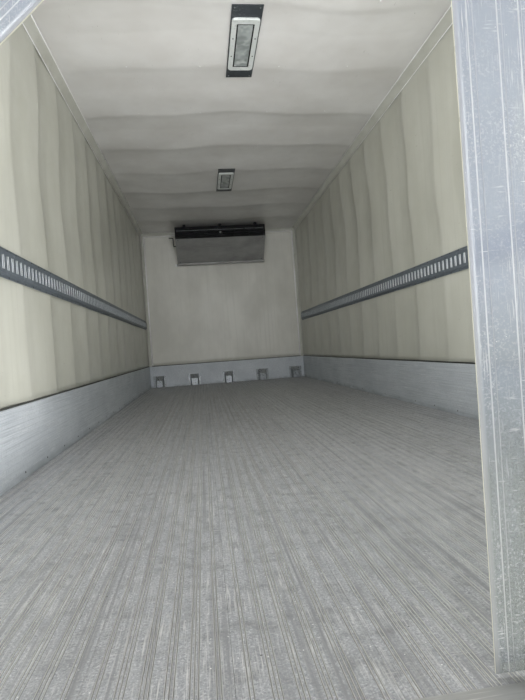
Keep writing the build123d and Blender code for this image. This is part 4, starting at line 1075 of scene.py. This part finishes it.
make("lamp_bezel_screws", [set_on(small_screw, bezel_spots, DOWN)], dark_screw)


def lens_seals():
    """Four beads round the edge of each lens, on its face."""
    seal = half_round(SEAL_W, SEAL_H)
    lens_low, lens_high = node_box("ceiling_lamp_lenses")
    x, z = lens_high[0] - SEAL_W / 2, lens_low[2]
    along = (LENS_LENGTH - SEAL_W) / 2
    forms = []
    for y in lamp_ys:
        for way in (-1, 1):
            forms.append(bead(seal, (way * x, y - along, z), (way * x, y + along, z), DOWN, RIGHT))
            forms.append(bead(seal, (-x, y + way * along, z), (x, y + way * along, z), DOWN, FORWARD))
    make("lamp_lens_seals", forms, rubber)


lens_seals()

# Evaporator: a bright bead and a round catch on the outlet, the flange that carries the tray's foot on the
# front wall, and screws at the tray's corners
TRIM_DOWN, TRIM_H = 30.0, 5.0
TRIM_OUT, TRIM_IN = 3.0, 1.0             # how far the trim stands out of the outlet's face and into it
TRIM_INSET = 4.0         # and how far it ends inside the outlet's ends
FLANGE_UP, FLANGE_H = 2.0, 36.0          # the flange above the unit's lowest point
FLANGE_NEAR, FLANGE_FAR = 7.0, 1.0       # its faces, back from the ceiling lining's front end
FLANGE_PAST = 30.0       # it reaches past the unit on the left
TRAY_TOP_OUT, TRAY_TOP_DOWN = 2.0, 6.0   # the tray's top edge from the outlet's lower rear edge
TRAY_FOOT_BACK, TRAY_FOOT_UP = 110.0, 22.0   # its foot from the floor's end and the unit's lowest point
TRAY_SCREW_X = 596.0
TRAY_SCREW_SHARES = (0.06, 0.94)         # their places from the tray's foot to its top
trim_z, flange_z = outlet_high[2] - TRIM_DOWN, evap_low[2] + FLANGE_UP
outlet_trim = box((outlet_low[0] + TRIM_INSET, outlet_low[1] - TRIM_OUT, trim_z),
                  (outlet_high[0] - TRIM_INSET, outlet_low[1] + TRIM_IN, trim_z + TRIM_H), edge=0.5)
make("evaporator_outlet_trim", [outlet_trim], edge_metal)
flange = box((-evap_high[0] - FLANGE_PAST, front_liner_y - FLANGE_NEAR, flange_z),
             (evap_high[0], front_liner_y - FLANGE_FAR, flange_z + FLANGE_H), edge=1.5)
make("evaporator_wall_flange", [flange], flange_paint)
tray_top = np.array((0.0, outlet_low[1] - TRAY_TOP_OUT, outlet_low[2] - TRAY_TOP_DOWN))
tray_foot = np.array((0.0, front_y - TRAY_FOOT_BACK, evap_low[2] + TRAY_FOOT_UP))
tray_way = tray_top - tray_foot
tray_spots = [tray_foot + share * tray_way + (x, 0.0, 0.0)
              for share in TRAY_SCREW_SHARES for x in (-TRAY_SCREW_X, TRAY_SCREW_X)]
tray_screw, catch = fastener(SCREW, size=1.3, count=12), fastener(SCREW, size=2.6, count=20)
make("evaporator_screws", [set_on(tray_screw, tray_spots, np.cross((1.0, 0.0, 0.0), tray_way))],
     dark_screw)
catch_spot = (0, outlet_low[1], (outlet_low[2] + outlet_high[2]) / 2)
make("evaporator_outlet_catch", [set_on(catch, [catch_spot], BACK)], zinc_screw)

# Rivets of the ceiling, at each bow, and of the outside, along the edge rails
CEILING_RIVET_XS = (-700.0, -250.0, 250.0, 700.0)
CEILING_RIVET_IN = 0.2   # the rivets start this far inside the ceiling's proud face
ceiling_spots = [(x, front_liner_y - FIRST_BOW - BOW_PITCH * k, ceiling_z + CEILING_RIVET_IN)
                 for k in range(BOWS) for x in CEILING_RIVET_XS]
make("ceiling_rivets", [set_on(rivet, ceiling_spots, DOWN)], white_sealant)

EDGE_RIVET_PITCH = 120.0
RAIL_END = 60.0          # from a side rail's ends to its first and last rivet
FRONT_RIVET_X = 1060.0
LOW_RIVET_UP, HIGH_RIVET_DOWN = 12.0, 108.0
rivet_rows = (floor_z + LOW_RIVET_UP, rail_top - HIGH_RIVET_DOWN)
rail_ys = row(frame_y + RAIL_END, front_y - RAIL_END, EDGE_RIVET_PITCH)
front_xs = row(-FRONT_RIVET_X, FRONT_RIVET_X, EDGE_RIVET_PITCH)
rail_forms = [set_on(rivet, [(s * out_x, y, z) for y in rail_ys for z in rivet_rows], (s, 0, 0))
              for s in sides.values()]
rail_forms.append(set_on(rivet, [(x, front_out, z) for x in front_xs for z in rivet_rows], FORWARD))
make("rail_rivets", rail_forms, zinc_screw)


# Studio: pale floor, soft light all round, one wide light behind the doorway, and three small lamps inside
# that stand for the daylight which the ground and the walls throw on. Lamps' lengths are in metres
SKY_LIGHT = 0.6
LAMPS = {    # place, point aimed at, width and height, watts, whether mirrors show it, spread in degrees
    "door_light": ((0.0, -11.5, 2.6), (0.0, 0.0, 1.3), (6.0, 4.4), 95.0, True, 90.0),
    "inner_glow": ((-0.1, -2.9, 1.95), (0.0, 3.0, 2.6), (2.0, 0.9), 10.2, False, 80.0),
    "head_glow": ((-0.2, -3.25, 2.45), (-0.2, -3.25, 0.0), (1.4, 0.45), 31.0, False),
    "floor_glow": ((-0.2, -2.4, 0.312), (-0.2, -2.4, 2.0), (1.2, 1.4), 18.5, False),
    "key_light": ((7.0, -2.0, 7.0), (0.0, 0.0, 1.2), (4.0, 4.0), 150.0),
    "fill_light": ((-8.0, 5.0, 6.0), (0.0, 0.0, 1.2), (4.0, 4.0), 100.0),
}


def studio():
    """Floor and sky: camera, mirrors and clear pieces see a white sky, and surfaces get SKY_LIGHT of it."""
    bpy.ops.mesh.primitive_plane_add(size=160.0)
    ground = bpy.context.object
    ground.name = "studio_floor"
    ground.data.materials.append(moulded("studio_paint", "#e8e8e6", "#e4e4e2", 0.8, depth=0.01))
    world = bpy.data.worlds.new("studio")
    bpy.context.scene.world = world
    world.use_nodes = True
    tree = world.node_tree
    tree.nodes.clear()
    camera, glossy, through = add(tree, "LightPath",
                                  out=("Is Camera Ray", "Is Glossy Ray", "Is Transmission Ray"))
    seen = add(tree, "Math", {0: camera, 1: glossy}, operation="MAXIMUM")
    seen = add(tree, "Math", {0: seen, 1: through}, operation="MAXIMUM")
    strength = add(tree, "MapRange", {"Value": seen, "To Min": SKY_LIGHT, "To Max": 1.0})
    sky = add(tree, "Background", {"Color": (1.0, 1.0, 1.0, 1.0), "Strength": strength})
    add(tree, "OutputWorld", {"Surface": sky}, out=None)


def lamp(name, place, aim, size, watts, mirrored=True, spread=180.0):
    """Area lamp hidden from the camera and from rays through clear pieces; mirrored lets mirrors show it."""
    data = bpy.data.lights.new(name, "AREA")
    data.shape = "RECTANGLE"
    data.size, data.size_y = size
    data.energy = watts
    data.spread = math.radians(spread)
    made = bpy.data.objects.new(name, data)
    bpy.context.scene.collection.objects.link(made)
    made.visible_camera = False
    made.visible_transmission = False
    made.visible_glossy = mirrored
    made.location = place
    made.rotation_euler = Vector(np.array(aim) - np.array(place)).to_track_quat("-Z", "Y").to_euler()


studio()
for name, setting in LAMPS.items():
    lamp(name, *setting)
bpy.context.scene.view_settings.view_transform = "Standard"
